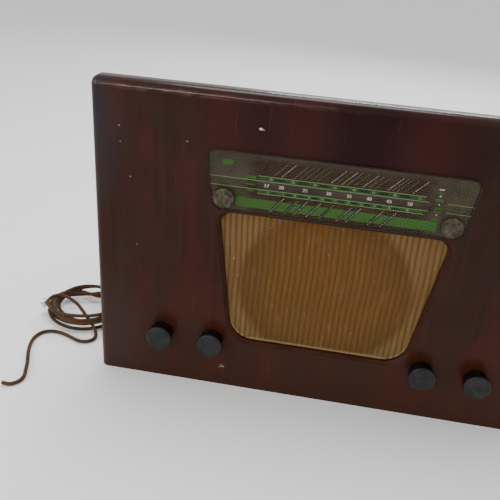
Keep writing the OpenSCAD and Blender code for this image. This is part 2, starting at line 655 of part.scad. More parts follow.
module back_cover() color("burlywood") difference() {
  box([-case_w / 2 + back_margin, back_y, case_z + back_margin],
    [case_w / 2 - back_margin, back_y + back_t, case_top_z - back_margin]);
  for (i = [0 : 13], s = [-1, 1], z = vent_rows) slab(back_y - 1, back_y + back_t + 1)
    translate([s * (12 + i * 14), z]) {
      circle(d = vent_w, $fn = 24);
      translate([-vent_w / 2, 0]) square([vent_w, vent_h]);
      translate([0, vent_h]) circle(d = vent_w, $fn = 24);
    }
  for (p = back_screw_spots) rod_y(4.2, back_y - 1, back_y + back_t + 1, p[0], p[1]);
  box([aerial_x - 38, back_y - 1, aerial_z - 15], [aerial_x + 38, back_y + back_t + 1, aerial_z + 15]);
  rod_y(gland_d + 2 * slip_gap, back_y - 1, back_y + back_t + 1, gland_x, gland_z);
}

module back_screws() color("gold") for (p = back_screw_spots) {
  rod_y(3.8, back_y + 0.05, back_y + back_t + 0.5, p[0], p[1]);
  turned_y(p[0], back_y + back_t, p[1]) polygon([[0, 0], [4, 0], [3.6, 1.2], [2.2, 2.2], [0, 2.5]]);
}

module rear_feet() color("black") for (s = [-1, 1])
  translate([s * (case_w / 2 - 38), back_y - 17, 0]) rotate_extrude()
    polygon([[0, 0], [foot_d / 2 - 2, 0], [foot_d / 2 - 0.6, 0.6], [foot_d / 2, 2], [foot_d / 2 - 1, foot_h], [0, foot_h]]);

// ---- chassis and what stands on it ---------------------------------------

fc_x = drum_x - gang_w / 2 - 33;
valve_xs = [-132, -84, -12, 44, fc_x];
valve_heights = [92, 88, 74, 74, 80];
valve_d = 28;
socket_d = 24;
can_xs = [-30, 28];

module chassis() color("darkgray") difference() {
  union() {
    difference() {
      box([-chassis_w / 2, chassis_y, case_in_bottom], [chassis_w / 2, chassis_rear_y, deck_z]);
      box([-chassis_w / 2 + sheet_t, chassis_y + sheet_t, case_in_bottom - 1],
        [chassis_w / 2 - sheet_t, chassis_rear_y - sheet_t, deck_z - sheet_t]);
    }
    for (s = [0, 1]) mirror([s, 0, 0]) box([chassis_w / 2 - 15, chassis_y + 1, case_in_bottom],
      [chassis_w / 2 - 1, chassis_rear_y - 1, case_in_bottom + sheet_t]);
  }
  for (x = [-knob_x_outer, -knob_x_inner, knob_x_inner, knob_x_outer])
    rod_y(bush_d + 2 * slip_gap, chassis_y - 1, chassis_y + sheet_t + 1, x, knob_z);
  for (x = valve_xs) translate([x, valve_y, deck_z - 5]) cylinder(d = socket_d + 2 * slip_gap, h = 9);
  for (s = [-1, 1], y = bolt_ys) translate([s * bolt_x, y, case_in_bottom - 1]) cylinder(d = bolt_d + 0.5, h = 4);
  box([aerial_x - 24, chassis_rear_y - 3, aerial_z - 6], [aerial_x + 24, chassis_rear_y + 1, aerial_z + 6]);
}

module chassis_bolts() color("silver") for (s = [-1, 1], y = bolt_ys) translate([s * bolt_x, y, 0]) {
  translate([0, 0, case_z - 3]) cylinder(d = 8, h = 3);
  translate([0, 0, case_z - 1]) cylinder(d = bolt_d, h = case_t + sheet_t + 4.5);
  translate([0, 0, case_in_bottom + sheet_t]) cylinder(d = 8, h = 3, $fn = 6);
}

module valve_sockets() color("sienna") for (x = valve_xs) translate([x, valve_y, deck_z]) {
  translate([0, 0, -4]) cylinder(d = socket_d, h = 5);
  cylinder(d = socket_d + 6, h = 1.6);
}

// Each valve is a moulded base with a shouldered bulb and a sealing tip
module valves() color("lightsteelblue") for (i = [0 : len(valve_xs) - 1])
  translate([valve_xs[i], valve_y, deck_z + 1.6]) rotate_extrude() {
    h = valve_heights[i];
    r = valve_d / 2;
    polygon(concat([[0, 0], [r + 0.6, 0], [r + 0.6, 15], [r - 0.6, 16], [r - 0.6, h - 26]],
      [for (a = [0 : 15 : 60]) [r - 6 + 5.4 * cos(a), h - 22 + 5.4 * sin(a)]],
      [for (a = [30 : 15 : 75]) [9.4 * cos(a), h - 13 + 9.4 * sin(a)]], [[2, h - 3], [0, h]]));
  }

module if_cans() color("silver") for (x = can_xs) {
  box([x - 15, can_y - 15, deck_z], [x + 15, can_y + 15, deck_z + 74]);
  translate([x, can_y, deck_z + 73]) cylinder(d = 10, h = 3);
}

module smoothing_capacitor() color("silver") translate([-100, can_y, deck_z]) {
  cylinder(d = 33, h = 82);
  cylinder(d = 36, h = 6);
  translate([0, 0, 81]) cylinder(d = 26, h = 2.5);
}

module mains_transformer() color("dimgray") translate([-chassis_w / 2 + 37, chassis_y + 46, deck_z]) {
  box([-30, -26, 0], [30, 26, 4]);
  box([-30, -16, 0], [30, 16, 66]);
  box([-19, -27, 12], [19, 27, 54]);
  for (x = [-26, 26], z = [6, 60]) rod_y(5, -19, 19, x, z);
}

module output_transformer() color("dimgray") translate([fc_x - 22, can_y + 2, deck_z]) {
  box([-20, -12, 0], [20, 12, 2]);
  box([-17, -8, 0], [17, 8, 34]);
  box([-10, -14, 7], [10, 14, 27]);
}

// Paxolin plate with the aerial, earth and pick-up sockets
module aerial_socket_plate() color("sienna") difference() {
  union() {
    box([aerial_x - 34, chassis_rear_y, aerial_z - 12], [aerial_x + 34, chassis_rear_y + 2.5, aerial_z + 12]);
    for (i = [-1, 0, 1]) rod_y(8, chassis_rear_y - 9, back_y + 1, aerial_x + i * 16, aerial_z);
  }
  for (i = [-1, 0, 1]) rod_y(4.2, chassis_rear_y - 7, back_y + 2, aerial_x + i * 16, aerial_z);
}

// ---- mains cord ----------------------------------------------------------

module cord_gland() color([0.15, 0.13, 0.12]) difference() {
  union() {
    rod_y(gland_d, back_y - 3, back_y + back_t + 1, gland_x, gland_z);
    rod_y(gland_d + 5, back_y + back_t, gland_face_y, gland_x, gland_z);
    rod_y(gland_d + 5, back_y - 3, back_y, gland_x, gland_z);
  }
  rod_y(cord_d, gland_face_y - 2.5, gland_face_y + 1, gland_x, gland_z);
}

module cord_lead() color("tan") cord_tube(lead_points);
module cord_tail() color("tan") cord_tube(tail_points);

// Outer shape of the loosely coiled length between the lead and the tail
module cord_hank() color("tan") translate([hank_pos[0], hank_pos[1], 0]) rotate_extrude()
  polygon([[hank_r_in, 4], [hank_r_in + 4, 0], [hank_r - 4, 0], [hank_r, 4], [hank_r, 15],
    [hank_r - 8, hank_h], [hank_r_in + 9, hank_h], [hank_r_in, 17]]);

front_panel();
case_top();
case_bottom();
case_left_side();
case_right_side();
back_cover();
back_screws();
rear_feet();
dial_glass();
glass_caps();
glass_washers();
dial_plate();
speaker_board();
speaker_cloth();
speaker_frame();
speaker_cone();
speaker_magnet();
speaker_screws();
chassis();
chassis_bolts();
volume_pot();
tone_pot();
band_switch();
control_nuts();
volume_shaft();
tone_shaft();
band_shaft();
tuning_spindle();
spindle_bush();
volume_knob();
tone_knob();
band_knob();
tuning_knob();
drive_drum();
gang_rotor();
gang_frame();
gang_stator();
gang_bracket();
drum_bracket();
pointer();
pointer_rail();
pulley_bar();
pulley_left();
pulley_right();
pulley_middle();
pointer_cord();
drive_cord();
dial_lamps();
lamp_holders();
mains_transformer();
output_transformer();
valves();
valve_sockets();
if_cans();
smoothing_capacitor();
aerial_socket_plate();
cord_gland();
cord_lead();
cord_hank();
cord_tail();
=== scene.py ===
"""Looks of a table radio: lacquered veneer, dial glass, ribbed cloth, bakelite knobs and braided cord."""

import json
import math

import bmesh
import bpy
import numpy as np
from mathutils import Matrix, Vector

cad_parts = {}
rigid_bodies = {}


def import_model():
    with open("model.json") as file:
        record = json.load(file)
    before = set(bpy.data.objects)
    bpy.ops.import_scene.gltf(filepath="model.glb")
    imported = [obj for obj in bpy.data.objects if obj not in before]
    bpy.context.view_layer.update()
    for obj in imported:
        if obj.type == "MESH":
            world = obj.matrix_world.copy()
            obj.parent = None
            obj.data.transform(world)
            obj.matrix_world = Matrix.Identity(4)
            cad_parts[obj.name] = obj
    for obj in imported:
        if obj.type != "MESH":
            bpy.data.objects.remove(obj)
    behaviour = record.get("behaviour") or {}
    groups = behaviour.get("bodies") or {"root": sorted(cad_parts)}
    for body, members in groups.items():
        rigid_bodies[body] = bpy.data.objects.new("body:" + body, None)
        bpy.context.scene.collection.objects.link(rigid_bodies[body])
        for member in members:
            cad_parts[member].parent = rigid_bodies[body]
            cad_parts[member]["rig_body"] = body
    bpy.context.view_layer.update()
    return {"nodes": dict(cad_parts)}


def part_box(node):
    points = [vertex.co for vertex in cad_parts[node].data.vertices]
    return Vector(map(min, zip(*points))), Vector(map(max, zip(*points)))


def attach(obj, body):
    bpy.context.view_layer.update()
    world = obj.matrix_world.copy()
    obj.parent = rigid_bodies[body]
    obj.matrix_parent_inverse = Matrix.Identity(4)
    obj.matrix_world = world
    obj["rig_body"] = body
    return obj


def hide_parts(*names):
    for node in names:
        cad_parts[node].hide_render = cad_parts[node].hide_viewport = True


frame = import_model()
nodes = frame["nodes"]
MM = 0.001
TAU = 2 * math.pi
WAVE_PERIOD = 0.314  # metres between the bands of a wave node whose scale is 1
MIX_SHARE, MIX_A, MIX_B, MIX_OUT = 0, 6, 7, 2  # places of a colour mix node's sockets


def show(name, data):
    """A new object with that data, in the scene."""
    thing = bpy.data.objects.new(name, data)
    bpy.context.scene.collection.objects.link(thing)
    return thing


# ---- camera and lights ----

def make_camera():
    """A 44 mm lens held above and in front, a little to the left of the middle."""
    data = bpy.data.cameras.new("camera")
    data.sensor_width = 36
    data.lens = 43.78
    data.clip_start = 0.01
    data.clip_end = 50
    right = (0.984914, 0.156276, 0.074311)
    down = (0.136756, -0.439823, -0.887611)
    ahead = (-0.106029, 0.884383, -0.454559)
    turn = Matrix((right, [-v for v in down], [-v for v in ahead])).transposed().to_4x4()
    camera = show("camera", data)
    camera.matrix_world = Matrix.Translation((-0.0163, -0.6369, 0.5250)) @ turn
    bpy.context.scene.camera = camera


def area_light(name, place, aim, size, watts):
    """A soft box of size (width, height) at place, pointing at aim."""
    data = bpy.data.lights.new(name, "AREA")
    data.shape = "RECTANGLE"
    data.size, data.size_y = size
    data.energy = watts
    ahead = np.subtract(aim, place)
    ahead = ahead / np.linalg.norm(ahead)
    side = np.cross(ahead, (0, 0.01, 1))
    side = side / np.linalg.norm(side)
    up = np.cross(side, ahead)
    turn = Matrix(np.array([side, up, -ahead]).T.tolist()).to_4x4()
    show(name, data).matrix_world = Matrix.Translation(place) @ turn


def make_lights():
    """An even pale sky, soft boxes overhead and at the left, and two strips that draw the lines of light
    along the panel's rounded top."""
    world = bpy.data.worlds.new("studio")
    bpy.context.scene.world = world
    world.use_nodes = True
    sky = world.node_tree.nodes["Background"]
    sky.inputs["Color"].default_value = (1, 1, 1, 1)
    sky.inputs["Strength"].default_value = 0.9
    area_light("overhead", (-0.1, 0.4, 1.8), (0, 0, 0.2), (1.0, 0.7), 18)
    area_light("left", (-1.6, -0.9, 0.9), (0, 0, 0.2), (0.8, 0.8), 8)
    area_light("front strip", (-0.8, -2.1, 1.05), (-0.15, 0, 0.38), (0.9, 0.12), 18)
    area_light("rear strip", (0.5, 2.3, 1.5), (0.1, 0, 0.38), (1.8, 0.12), 30)


# ---- materials ----

class Finish:
    """A finish being mixed. Each call adds nodes and hands back an output socket, but for colour,
    roughness and bump, which feed the shader and hand back the finish."""

    def __init__(self, name, **settings):
        self.material = bpy.data.materials.new(name)
        self.material.use_nodes = True
        self.nodes = self.material.node_tree.nodes
        self.links = self.material.node_tree.links
        self.shader = self.nodes["Principled BSDF"]
        for socket, value in settings.items():
            self.shader.inputs[socket.replace("_", " ")].default_value = value

    def feed(self, socket, value):
        """Links another node's output into the socket, or sets a number or a colour there."""
        if isinstance(value, bpy.types.NodeSocket):
            self.links.new(value, socket)
        elif socket.type == "RGBA":
            socket.default_value = (*value, 1)
        else:
            socket.default_value = value

    def add(self, kind, inputs=(), **settings):
        """One shader node of that kind, with its settings and its inputs."""
        node = self.nodes.new("ShaderNode" + kind)
        for key, value in settings.items():
            setattr(node, key, value)
        for key, value in dict(inputs).items():
            self.feed(node.inputs[key], value)
        return node

    def place(self, scale=1, shift=(0, 0, 0), turn=(0, 0, 0)):
        """Coordinates of the piece, scaled, turned and shifted; scale is one number or three."""
        base = self.add("TexCoord").outputs["Object"]
        scale = np.broadcast_to(scale, 3).tolist()
        return self.add("Mapping", {"Vector": base, "Scale": scale, "Location": shift,
                                    "Rotation": turn}).outputs[0]

    def noise(self, scale, detail, rough=0.55, twist=0.0, turn=(0, 0, 0)):
        """Cloudy noise, about 0.3 to 0.7, with scale features a metre."""
        return self.add("TexNoise", {"Vector": self.place(scale, turn=turn), "Scale": 1, "Detail": detail,
                                     "Roughness": rough, "Distortion": twist}).outputs["Fac"]

    def cells(self, scale):
        """Distance to the nearest of scattered points, scale of them a metre."""
        return self.add("TexVoronoi", {"Vector": self.place(scale), "Scale": 1}).outputs[0]

    def wave(self, pitch, axis):
        """Slightly wandering bands, pitch metres apart along an axis."""
        return self.add("TexWave", {"Vector": self.place(), "Scale": WAVE_PERIOD / pitch, "Distortion": 0.3},
                        bands_direction=axis).outputs["Fac"]

    def blot(self, centre, radii):
        """1 at centre, falling to 0 at the ellipsoid with those radii; sizes in metres."""
        scale = [1 / r for r in radii]
        shift = [-c * s for c, s in zip(centre, scale)]
        return self.add("TexGradient", {"Vector": self.place(scale, shift)},
                        gradient_type="SPHERICAL").outputs["Fac"]

    def facing(self, axis):
        """How squarely the surface faces along X, Y or Z, given as 0, 1 or 2; from -1 to 1."""
        return self.add("SeparateXYZ", {0: self.add("NewGeometry").outputs["Normal"]}).outputs[axis]

    def stored(self, name):
        """A number kept at each point of the mesh."""
        return self.add("Attribute", attribute_name=name).outputs["Fac"]

    def span(self, value, low, high, to_low=0.0, to_high=1.0):
        """Value moved from the range low to high on to another, and held inside it."""
        return self.add("MapRange", {"Value": value, "From Min": low, "From Max": high,
                                     "To Min": to_low, "To Max": to_high}).outputs[0]

    def maths(self, kind, *values):
        return self.add("Math", dict(enumerate(values)), operation=kind).outputs[0]

    def times(self, a, b):
        return self.maths("MULTIPLY", a, b)

    def mix(self, share, a, b):
        """Colour a with a share of colour b."""
        return self.add("Mix", {MIX_SHARE: share, MIX_A: a, MIX_B: b}, data_type="RGBA").outputs[MIX_OUT]

    def stain(self, base, value, low, high, share, colour):
        """Base with up to that share of a colour, as value goes from low to high."""
        return self.mix(self.span(value, low, high, 0, share), base, colour)

    def patch(self, base, centre, radii, full, share, colour):
        """Base with a soft patch of a colour; the share is reached where its blot is at full."""
        return self.stain(base, self.blot(centre, radii), 0, full, share, colour)

    def ramp(self, value, *stops):
        """Colours along value; stops are (place, colour)."""
        node = self.add("ValToRGB", {"Fac": value})
        points = node.color_ramp.elements
        for i, (at, colour) in enumerate(stops):
            point = points[i] if i < 2 else points.new(at)
            point.position = at
            point.color = (*colour, 1)
        return node.outputs["Color"]

    def colour(self, value):
        self.links.new(value, self.shader.inputs["Base Color"])
        return self

    def roughness(self, value, low, high, at=(0.3, 0.7)):
        """Roughness from low to high, as value goes over the range at."""
        self.links.new(self.span(value, *at, low, high), self.shader.inputs["Roughness"])
        return self

    def bump(self, height, depth, strength=1.0):
        """Relief of depth metres; a further call adds to the one before."""
        inputs = {"Height": height, "Distance": depth, "Strength": strength}
        before = self.shader.inputs["Normal"].links
        if before:
            inputs["Normal"] = before[0].from_socket
        self.links.new(self.add("Bump", inputs).outputs[0], self.shader.inputs["Normal"])
        return self


VENEER_CHIPS = [  # x, z, radius in mm, and how pale
    (-90.5, 347, 3.4, 1), (-87.5, 346.2, 2.2, 0.3), (-247, 333, 2.2, 0.22), (-246, 315, 2.0, 0.2),
    (-170, 324, 2.2, 0.25), (-235, 275, 2.2, 0.22), (-115, 29, 4.2, 0.26), (-119, 27.5, 2.6, 0.2),
    (-117, 31, 2.4, 0.2), (201, 341, 2.6, 0.2), (-228, 190, 2.0, 0.2), (232, 120, 2.4, 0.2)]


def veneer():
    """Dark red-brown veneer with upright grain under a worn gloss lacquer, chipped here and there."""
    f = Finish("veneer", Specular_IOR_Level=0.1, Coat_Roughness=0.13, Coat_IOR=1.45)
    # the lacquer shines where the surface turns up and is dull on the face
    f.links.new(f.span(f.facing(2), 0.05, 0.5, 0.06, 0.32), f.shader.inputs["Coat Weight"])
    streak = f.noise((150, 20, 5), 4, 0.6, 0.3)
    figure = f.noise((16, 4, 5), 3, 0.5, 1.0)
    cloudy = f.noise((9, 9, 14), 4, 0.6)
    pores = f.noise((1400, 300, 55), 2, 0.5)
    wood = f.ramp(streak, (0.26, (0.0145, 0.0036, 0.0017)), (0.5, (0.0215, 0.0054, 0.0023)),
                  (0.74, (0.0290, 0.0074, 0.0031)))
    # red and olive figure, then a brownish bloom
    wood = f.stain(wood, figure, 0.46, 0.62, 0.8, (0.039, 0.0055, 0.0020))
    wood = f.stain(wood, figure, 0.5, 0.34, 0.4, (0.021, 0.0100, 0.0034))
    wood = f.stain(wood, cloudy, 0.5, 0.7, 0.35, (0.030, 0.0125, 0.0070))
    # paler and browner along the foot, a painted reflection; a wine-dark patch above the dial between two
    # redder ones
    wood = f.patch(wood, (0, -0.01, 0.0), (0.75, 0.2, 0.17), 0.7, 0.5, (0.039, 0.0165, 0.0090))
    wood = f.patch(wood, (0.02, -0.01, 0.345), (0.17, 0.1, 0.075), 0.5, 0.95, (0.0105, 0.0003, 0.0003))
    for x, reach in ((-0.045, 0.045), (0.088, 0.05)):
        wood = f.patch(wood, (x, -0.01, 0.345), (reach, 0.1, 0.09), 0.7, 0.6, (0.036, 0.0062, 0.0026))
    # painted grey reflection in the two left corners
    wood = f.patch(wood, (-0.285, -0.01, 0.345), (0.05, 0.1, 0.14), 0.7, 0.75, (0.020, 0.0165, 0.0195))
    wood = f.patch(wood, (-0.28, -0.01, 0.03), (0.09, 0.1, 0.13), 0.7, 0.5, (0.030, 0.0185, 0.0165))
    wood = f.stain(wood, pores, 0.36, 0.3, 0.5, (0.006, 0.003, 0.0025))
    scratch = f.noise((900, 60, 16), 2, 0.4, turn=(0, 0.5, 0))
    wood = f.stain(wood, scratch, 0.74, 0.78, 0.28, (0.13, 0.085, 0.06))
    # pale line along the left of the top edge: partly rubbed wear, partly a painted highlight on the rounding
    rub_and_highlight = f.span(f.blot((-0.18, -0.012, 0.3765), (0.26, 0.006, 0.005)), 0, 0.8)
    rub_and_highlight = f.times(rub_and_highlight, f.span(f.noise((60, 400, 400), 4, 0.7), 0.45, 0.62))
    wood = f.mix(f.times(rub_and_highlight, 0.5), wood, (0.19, 0.1, 0.075))
    chips = None
    ragged = f.noise(900, 3, 0.7)
    for x, z, r, pale in VENEER_CHIPS:
        spot = f.blot((x * MM, -0.01, z * MM), (r * MM, 0.004, r * 0.6 * MM))
        spot = f.span(f.times(spot, ragged), 0.12, 0.3, 0, pale)
        chips = spot if chips is None else f.maths("MAXIMUM", chips, spot)
    wood = f.mix(chips, wood, (0.62, 0.5, 0.36))
    f.colour(wood)
    f.roughness(f.maths("ADD", cloudy, f.noise(300, 3, 0.6)), 0.22, 0.4, (0.7, 1.3))
    f.bump(streak, 0.00012, 0.5)
    f.bump(f.noise((22, 22, 14), 1, 0.4), 0.0009, 0.35)
    f.bump(f.span(chips, 0, 1, 1, 0), 0.0006, 0.8)
    return f.material


def bevelled_edge():
    """The cut edge round the loudspeaker opening: orange-brown with dark streaks, hardly any lacquer."""
    f = Finish("bevelled_edge", Specular_IOR_Level=0.12, Coat_Weight=0.02, Coat_Roughness=0.3)
    grain = f.noise((60, 900, 60), 4, 0.6)
    wood = f.ramp(grain, (0.3, (0.012, 0.0026, 0.0008)), (0.55, (0.029, 0.0066, 0.0012)),
                  (0.78, (0.075, 0.021, 0.0038)))
    wood = f.stain(wood, f.noise(30, 2), 0.45, 0.7, 0.7, (0.042, 0.0105, 0.0036))
    return f.colour(wood).roughness(grain, 0.35, 0.55).bump(grain, 0.0002).material


def raw_wood(name, dark, pale, grain_scale, roughness):
    """Unfinished or thinly stained board with grain running along one direction."""
    f = Finish(name, Specular_IOR_Level=0.3)
    grain = f.noise(grain_scale, 5, 0.6, 0.6)
    fleck = f.noise([s * 9 for s in grain_scale], 2, 0.5)
    wood = f.ramp(grain, (0.3, dark), (0.7, pale))
    wood = f.stain(wood, fleck, 0.38, 0.3, 0.45, [c * 0.45 for c in dark])
    wood = f.stain(wood, f.noise(7, 3, 0.6), 0.5, 0.75, 0.4, [c * 0.5 for c in dark])
    return f.colour(wood).roughness(grain, roughness - 0.1, roughness + 0.12).bump(grain, 0.0002).material


def hardboard():
    """Brown pressed fibreboard with a fine leathery face."""
    f = Finish("hardboard", Specular_IOR_Level=0.3)
    fibre = f.noise(500, 5, 0.7)
    broad = f.noise(9, 3, 0.6)
    board = f.ramp(fibre, (0.3, (0.075, 0.035, 0.016)), (0.7, (0.17, 0.09, 0.045)))
    board = f.stain(board, broad, 0.45, 0.7, 0.5, (0.065, 0.032, 0.018))
    return f.colour(board).roughness(fibre, 0.6, 0.85).bump(fibre, 0.00025).material


def grille_cloth():
    """Ribbed gold-brown cloth, with painted shade over the loudspeaker behind it and in the furrows between
    the ribs.
    """
    f = Finish("grille_cloth", Sheen_Weight=0.12, Sheen_Roughness=0.5, Specular_IOR_Level=0.15,
               Roughness=0.85)
    f.shader.inputs["Sheen Tint"].default_value = (0.9, 0.7, 0.4, 1)
    weft = f.wave(1.2 * MM, "Z")
    warp = f.wave(0.95 * MM, "X")
    thread = f.noise((900, 900, 260), 3, 0.7)
    slub = f.noise((420, 90, 34), 3, 0.6)
    blotch = f.noise((22, 22, 16), 4, 0.6)
    # painted shade over the round of the loudspeaker, darkest along its edge; warmer inside
    shade = f.blot((0, -0.002, 0.156), (0.112, 0.4, 0.112))
    dust_and_shade = f.span(shade, 0.04, 0.13)
    pale = f.mix(thread, (0.142, 0.078, 0.026), (0.208, 0.120, 0.049))
    dark = f.mix(thread, (0.104, 0.046, 0.0070), (0.148, 0.070, 0.0130))
    cloth = f.mix(dust_and_shade, pale, dark)
    cloth = f.mix(f.times(f.span(shade, 0.42, 0.14, 0, 0.5), dust_and_shade), cloth, (0.066, 0.033, 0.0075))
    for x, z, reach in ((-0.035, 0.225, 0.06), (0.045, 0.15, 0.07), (-0.01, 0.185, 0.05)):
        glow = f.span(f.blot((x, -0.002, z), (reach, 0.4, reach * 0.8)), 0, 0.7, 0, 0.6)
        cloth = f.mix(f.times(glow, f.span(blotch, 0.3, 0.6)), cloth, (0.150, 0.058, 0.0105))
    # painted shade in the furrows between the ribs; stains, pale slubs and the gaps of the weave
    cloth = f.mix(f.span(f.stored("rib"), 0.3, 0.9, 0.72, 0), cloth, (0.056, 0.025, 0.0055))
    cloth = f.stain(cloth, f.noise((150, 40, 9), 4, 0.6), 0.46, 0.66, 0.4, (0.094, 0.040, 0.0085))
    cloth = f.stain(cloth, slub, 0.54, 0.72, 0.28, (0.22, 0.145, 0.065))
    cloth = f.stain(cloth, blotch, 0.5, 0.72, 0.4, (0.085, 0.045, 0.0135))
    cloth = f.mix(f.span(f.times(weft, warp), 0.2, 0.8, 0.22, 0), cloth, (0.05, 0.025, 0.0065))
    # pale rubbed line along the lower edge, and scuffs
    cloth = f.stain(cloth, f.stored("edge"), 0.0, 1.0, 0.65, (0.36, 0.26, 0.13))
    scuff = f.noise((260, 60, 120), 2, 0.5, turn=(0, 0.9, 0))
    cloth = f.stain(cloth, scuff, 0.70, 0.76, 0.5, (0.3, 0.22, 0.11))
    return f.colour(cloth).bump(thread, 0.00025).bump(weft, 0.00012).bump(warp, 0.00012).material


def dial_glass():
    """Flat glass with a little grey dirt on it; seen through for the most part."""
    f = Finish("dial_glass", IOR=1.5, Alpha=0.07, Specular_IOR_Level=0.4)
    haze = f.noise((40, 40, 60), 4, 0.65)
    wiped = f.noise((14, 10, 90), 3, 0.6, turn=(0, 0.2, 0))
    tint = f.ramp(f.times(haze, wiped), (0.14, (0.018, 0.017, 0.011)), (0.42, (0.042, 0.039, 0.026)))
    f.colour(tint)
    return f.roughness(haze, 0.08, 0.28).material


def glass_coating():
    """Olive-brown paint on the rear of the dial glass, behind its print; its colour also holds a painted
    reflection off the glass, and it is darker over the window as painted shade of the recess behind.
    """
    f = Finish("glass_coating", Specular_IOR_Level=0.1, Roughness=0.8)
    spot = f.add("SeparateXYZ", {0: f.place()}).outputs
    haze = f.noise((40, 40, 60), 4, 0.65)
    wiped = f.noise((14, 10, 90), 3, 0.6, turn=(0, 0.2, 0))
    # the film's colour also holds a painted reflection off the glass
    film = f.ramp(haze, (0.34, (0.037, 0.030, 0.0175)), (0.66, (0.058, 0.047, 0.030)))
    window = f.ramp(haze, (0.34, (0.024, 0.0125, 0.0072)), (0.66, (0.040, 0.0215, 0.0125)))
    # painted shade: darker over the window, where the shaded recess lies behind
    inside = f.times(f.span(f.maths("ABSOLUTE", spot[0]), 0.103, 0.091), f.span(spot[2], 0.318, 0.311))
    film = f.stain(f.mix(inside, film, window), wiped, 0.5, 0.7, 0.3, (0.030, 0.024, 0.014))
    return f.colour(film).material


def glass_rim():
    """The ground edge of the glass, which shows green-grey."""
    f = Finish("glass_rim", Alpha=0.7, Specular_IOR_Level=0.6)
    ground = f.noise(600, 3, 0.6)
    f.colour(f.ramp(ground, (0.3, (0.02, 0.022, 0.014)), (0.7, (0.07, 0.07, 0.05))))
    return f.roughness(ground, 0.2, 0.5).material


def printed(name, ink, worn):
    """Silk-screened ink, a little broken and faded."""
    f = Finish(name, Specular_IOR_Level=0.2, Roughness=0.7)
    return f.colour(f.stain(ink, f.noise(120, 4, 0.7), 0.45, 0.75, 0.7, worn)).material


def bakelite():
    """Black moulded resin with a painted grey sheen on the face; the flutes stay dark."""
    f = Finish("bakelite", Coat_Weight=0.05, Coat_Roughness=0.3, Specular_IOR_Level=0.2)
    swirl = f.noise(50, 4, 0.6, 1.5)
    dull = f.noise(160, 3, 0.65)
    body = f.stain((0.0030, 0.0029, 0.0030), swirl, 0.4, 0.65, 0.6, (0.0062, 0.0056, 0.0054))
    # painted sheen: the face turned to the front is made lighter grey, mottled
    sheen_mottle = f.noise((110, 60, 110), 4, 0.6, 0.6)
    face_sheen = f.ramp(sheen_mottle, (0.36, (0.0035, 0.0045, 0.0055)), (0.66, (0.0190, 0.0190, 0.0190)))
    body = f.stain(body, f.facing(1), -0.55, -0.95, 0.9, face_sheen)
    body = f.stain(body, dull, 0.52, 0.75, 0.35, (0.019, 0.0185, 0.018))
    body = f.stain(body, f.cells(230), 0.12, 0.05, 0.4, (0.1, 0.09, 0.075))
    return f.colour(body).roughness(dull, 0.32, 0.55).bump(dull, 0.00012).material


def plated(name, clean, tarnished, rust, roughness=0.32):
    """Plated or bare metal with tarnish, fine pitting and some rust."""
    f = Finish(name, Metallic=0.92)
    cloud = f.noise(120, 5, 0.7)
    pits = f.cells(900)
    metal = f.mix(f.span(cloud, 0.38, 0.62), clean, tarnished)
    metal = f.stain(metal, f.noise(300, 3, 0.6), 0.6, 0.7, rust, (0.14, 0.055, 0.02))
    return f.colour(metal).roughness(cloud, roughness, roughness + 0.3).bump(pits, 0.00006).material


def painted(name, paint, chipped, roughness=0.5):
    """Sprayed paint or varnish with slight orange peel and small chips."""
    f = Finish(name, Specular_IOR_Level=0.45)
    peel = f.noise(700, 2, 0.5)
    dirt = f.noise(35, 4, 0.6)
    coat = f.stain(paint, dirt, 0.4, 0.75, 0.6, [c * 0.5 for c in paint])
    coat = f.stain(coat, f.cells(160), 0.09, 0.05, 0.8, chipped)
    return f.colour(coat).roughness(dirt, roughness, roughness + 0.2).bump(peel, 0.00006).material


def moulded(name, dark, pale):
    """Plain or laminated resin with a mottled body."""
    f = Finish(name)
    mottle = f.noise(180, 4, 0.65, 0.8)
    f.colour(f.ramp(mottle, (0.3, dark), (0.7, pale)))
    return f.roughness(mottle, 0.55, 0.75).bump(mottle, 0.00008).material


def clear_glass(name, tint, alpha):
    """Blown glass, seen through, with dust on it."""
    f = Finish(name, Alpha=alpha, IOR=1.5, Specular_IOR_Level=0.8)
    dust_and_shade = f.noise(90, 4, 0.6)
    f.colour(f.mix(f.span(dust_and_shade, 0.4, 0.7), tint, [c * 0.6 + 0.05 for c in tint]))
    return f.roughness(dust_and_shade, 0.04, 0.2).material


def rubber():
    """Black rubber, matt and dusty."""
    f = Finish("rubber", Specular_IOR_Level=0.25)
    dust_and_shade = f.noise(200, 4, 0.65)
    f.colour(f.ramp(dust_and_shade, (0.35, (0.012, 0.011, 0.01)), (0.75, (0.045, 0.04, 0.034))))
    return f.roughness(dust_and_shade, 0.7, 0.9).bump(dust_and_shade, 0.0002).material


def felt():
    """Dark felt, fibrous."""
    f = Finish("felt", Sheen_Weight=0.3, Specular_IOR_Level=0.1, Roughness=0.95)
    hair = f.noise(1500, 3, 0.7)
    f.colour(f.ramp(hair, (0.3, (0.012, 0.013, 0.011)), (0.7, (0.04, 0.042, 0.035))))
    return f.bump(hair, 0.0003).material


def paper():
    """Black paper pulp."""
    f = Finish("cone_paper", Specular_IOR_Level=0.15, Roughness=0.9)
    pulp = f.noise(400, 4, 0.7)
    f.colour(f.ramp(pulp, (0.3, (0.012, 0.011, 0.01)), (0.7, (0.035, 0.032, 0.028))))
    return f.bump(pulp, 0.0003).material


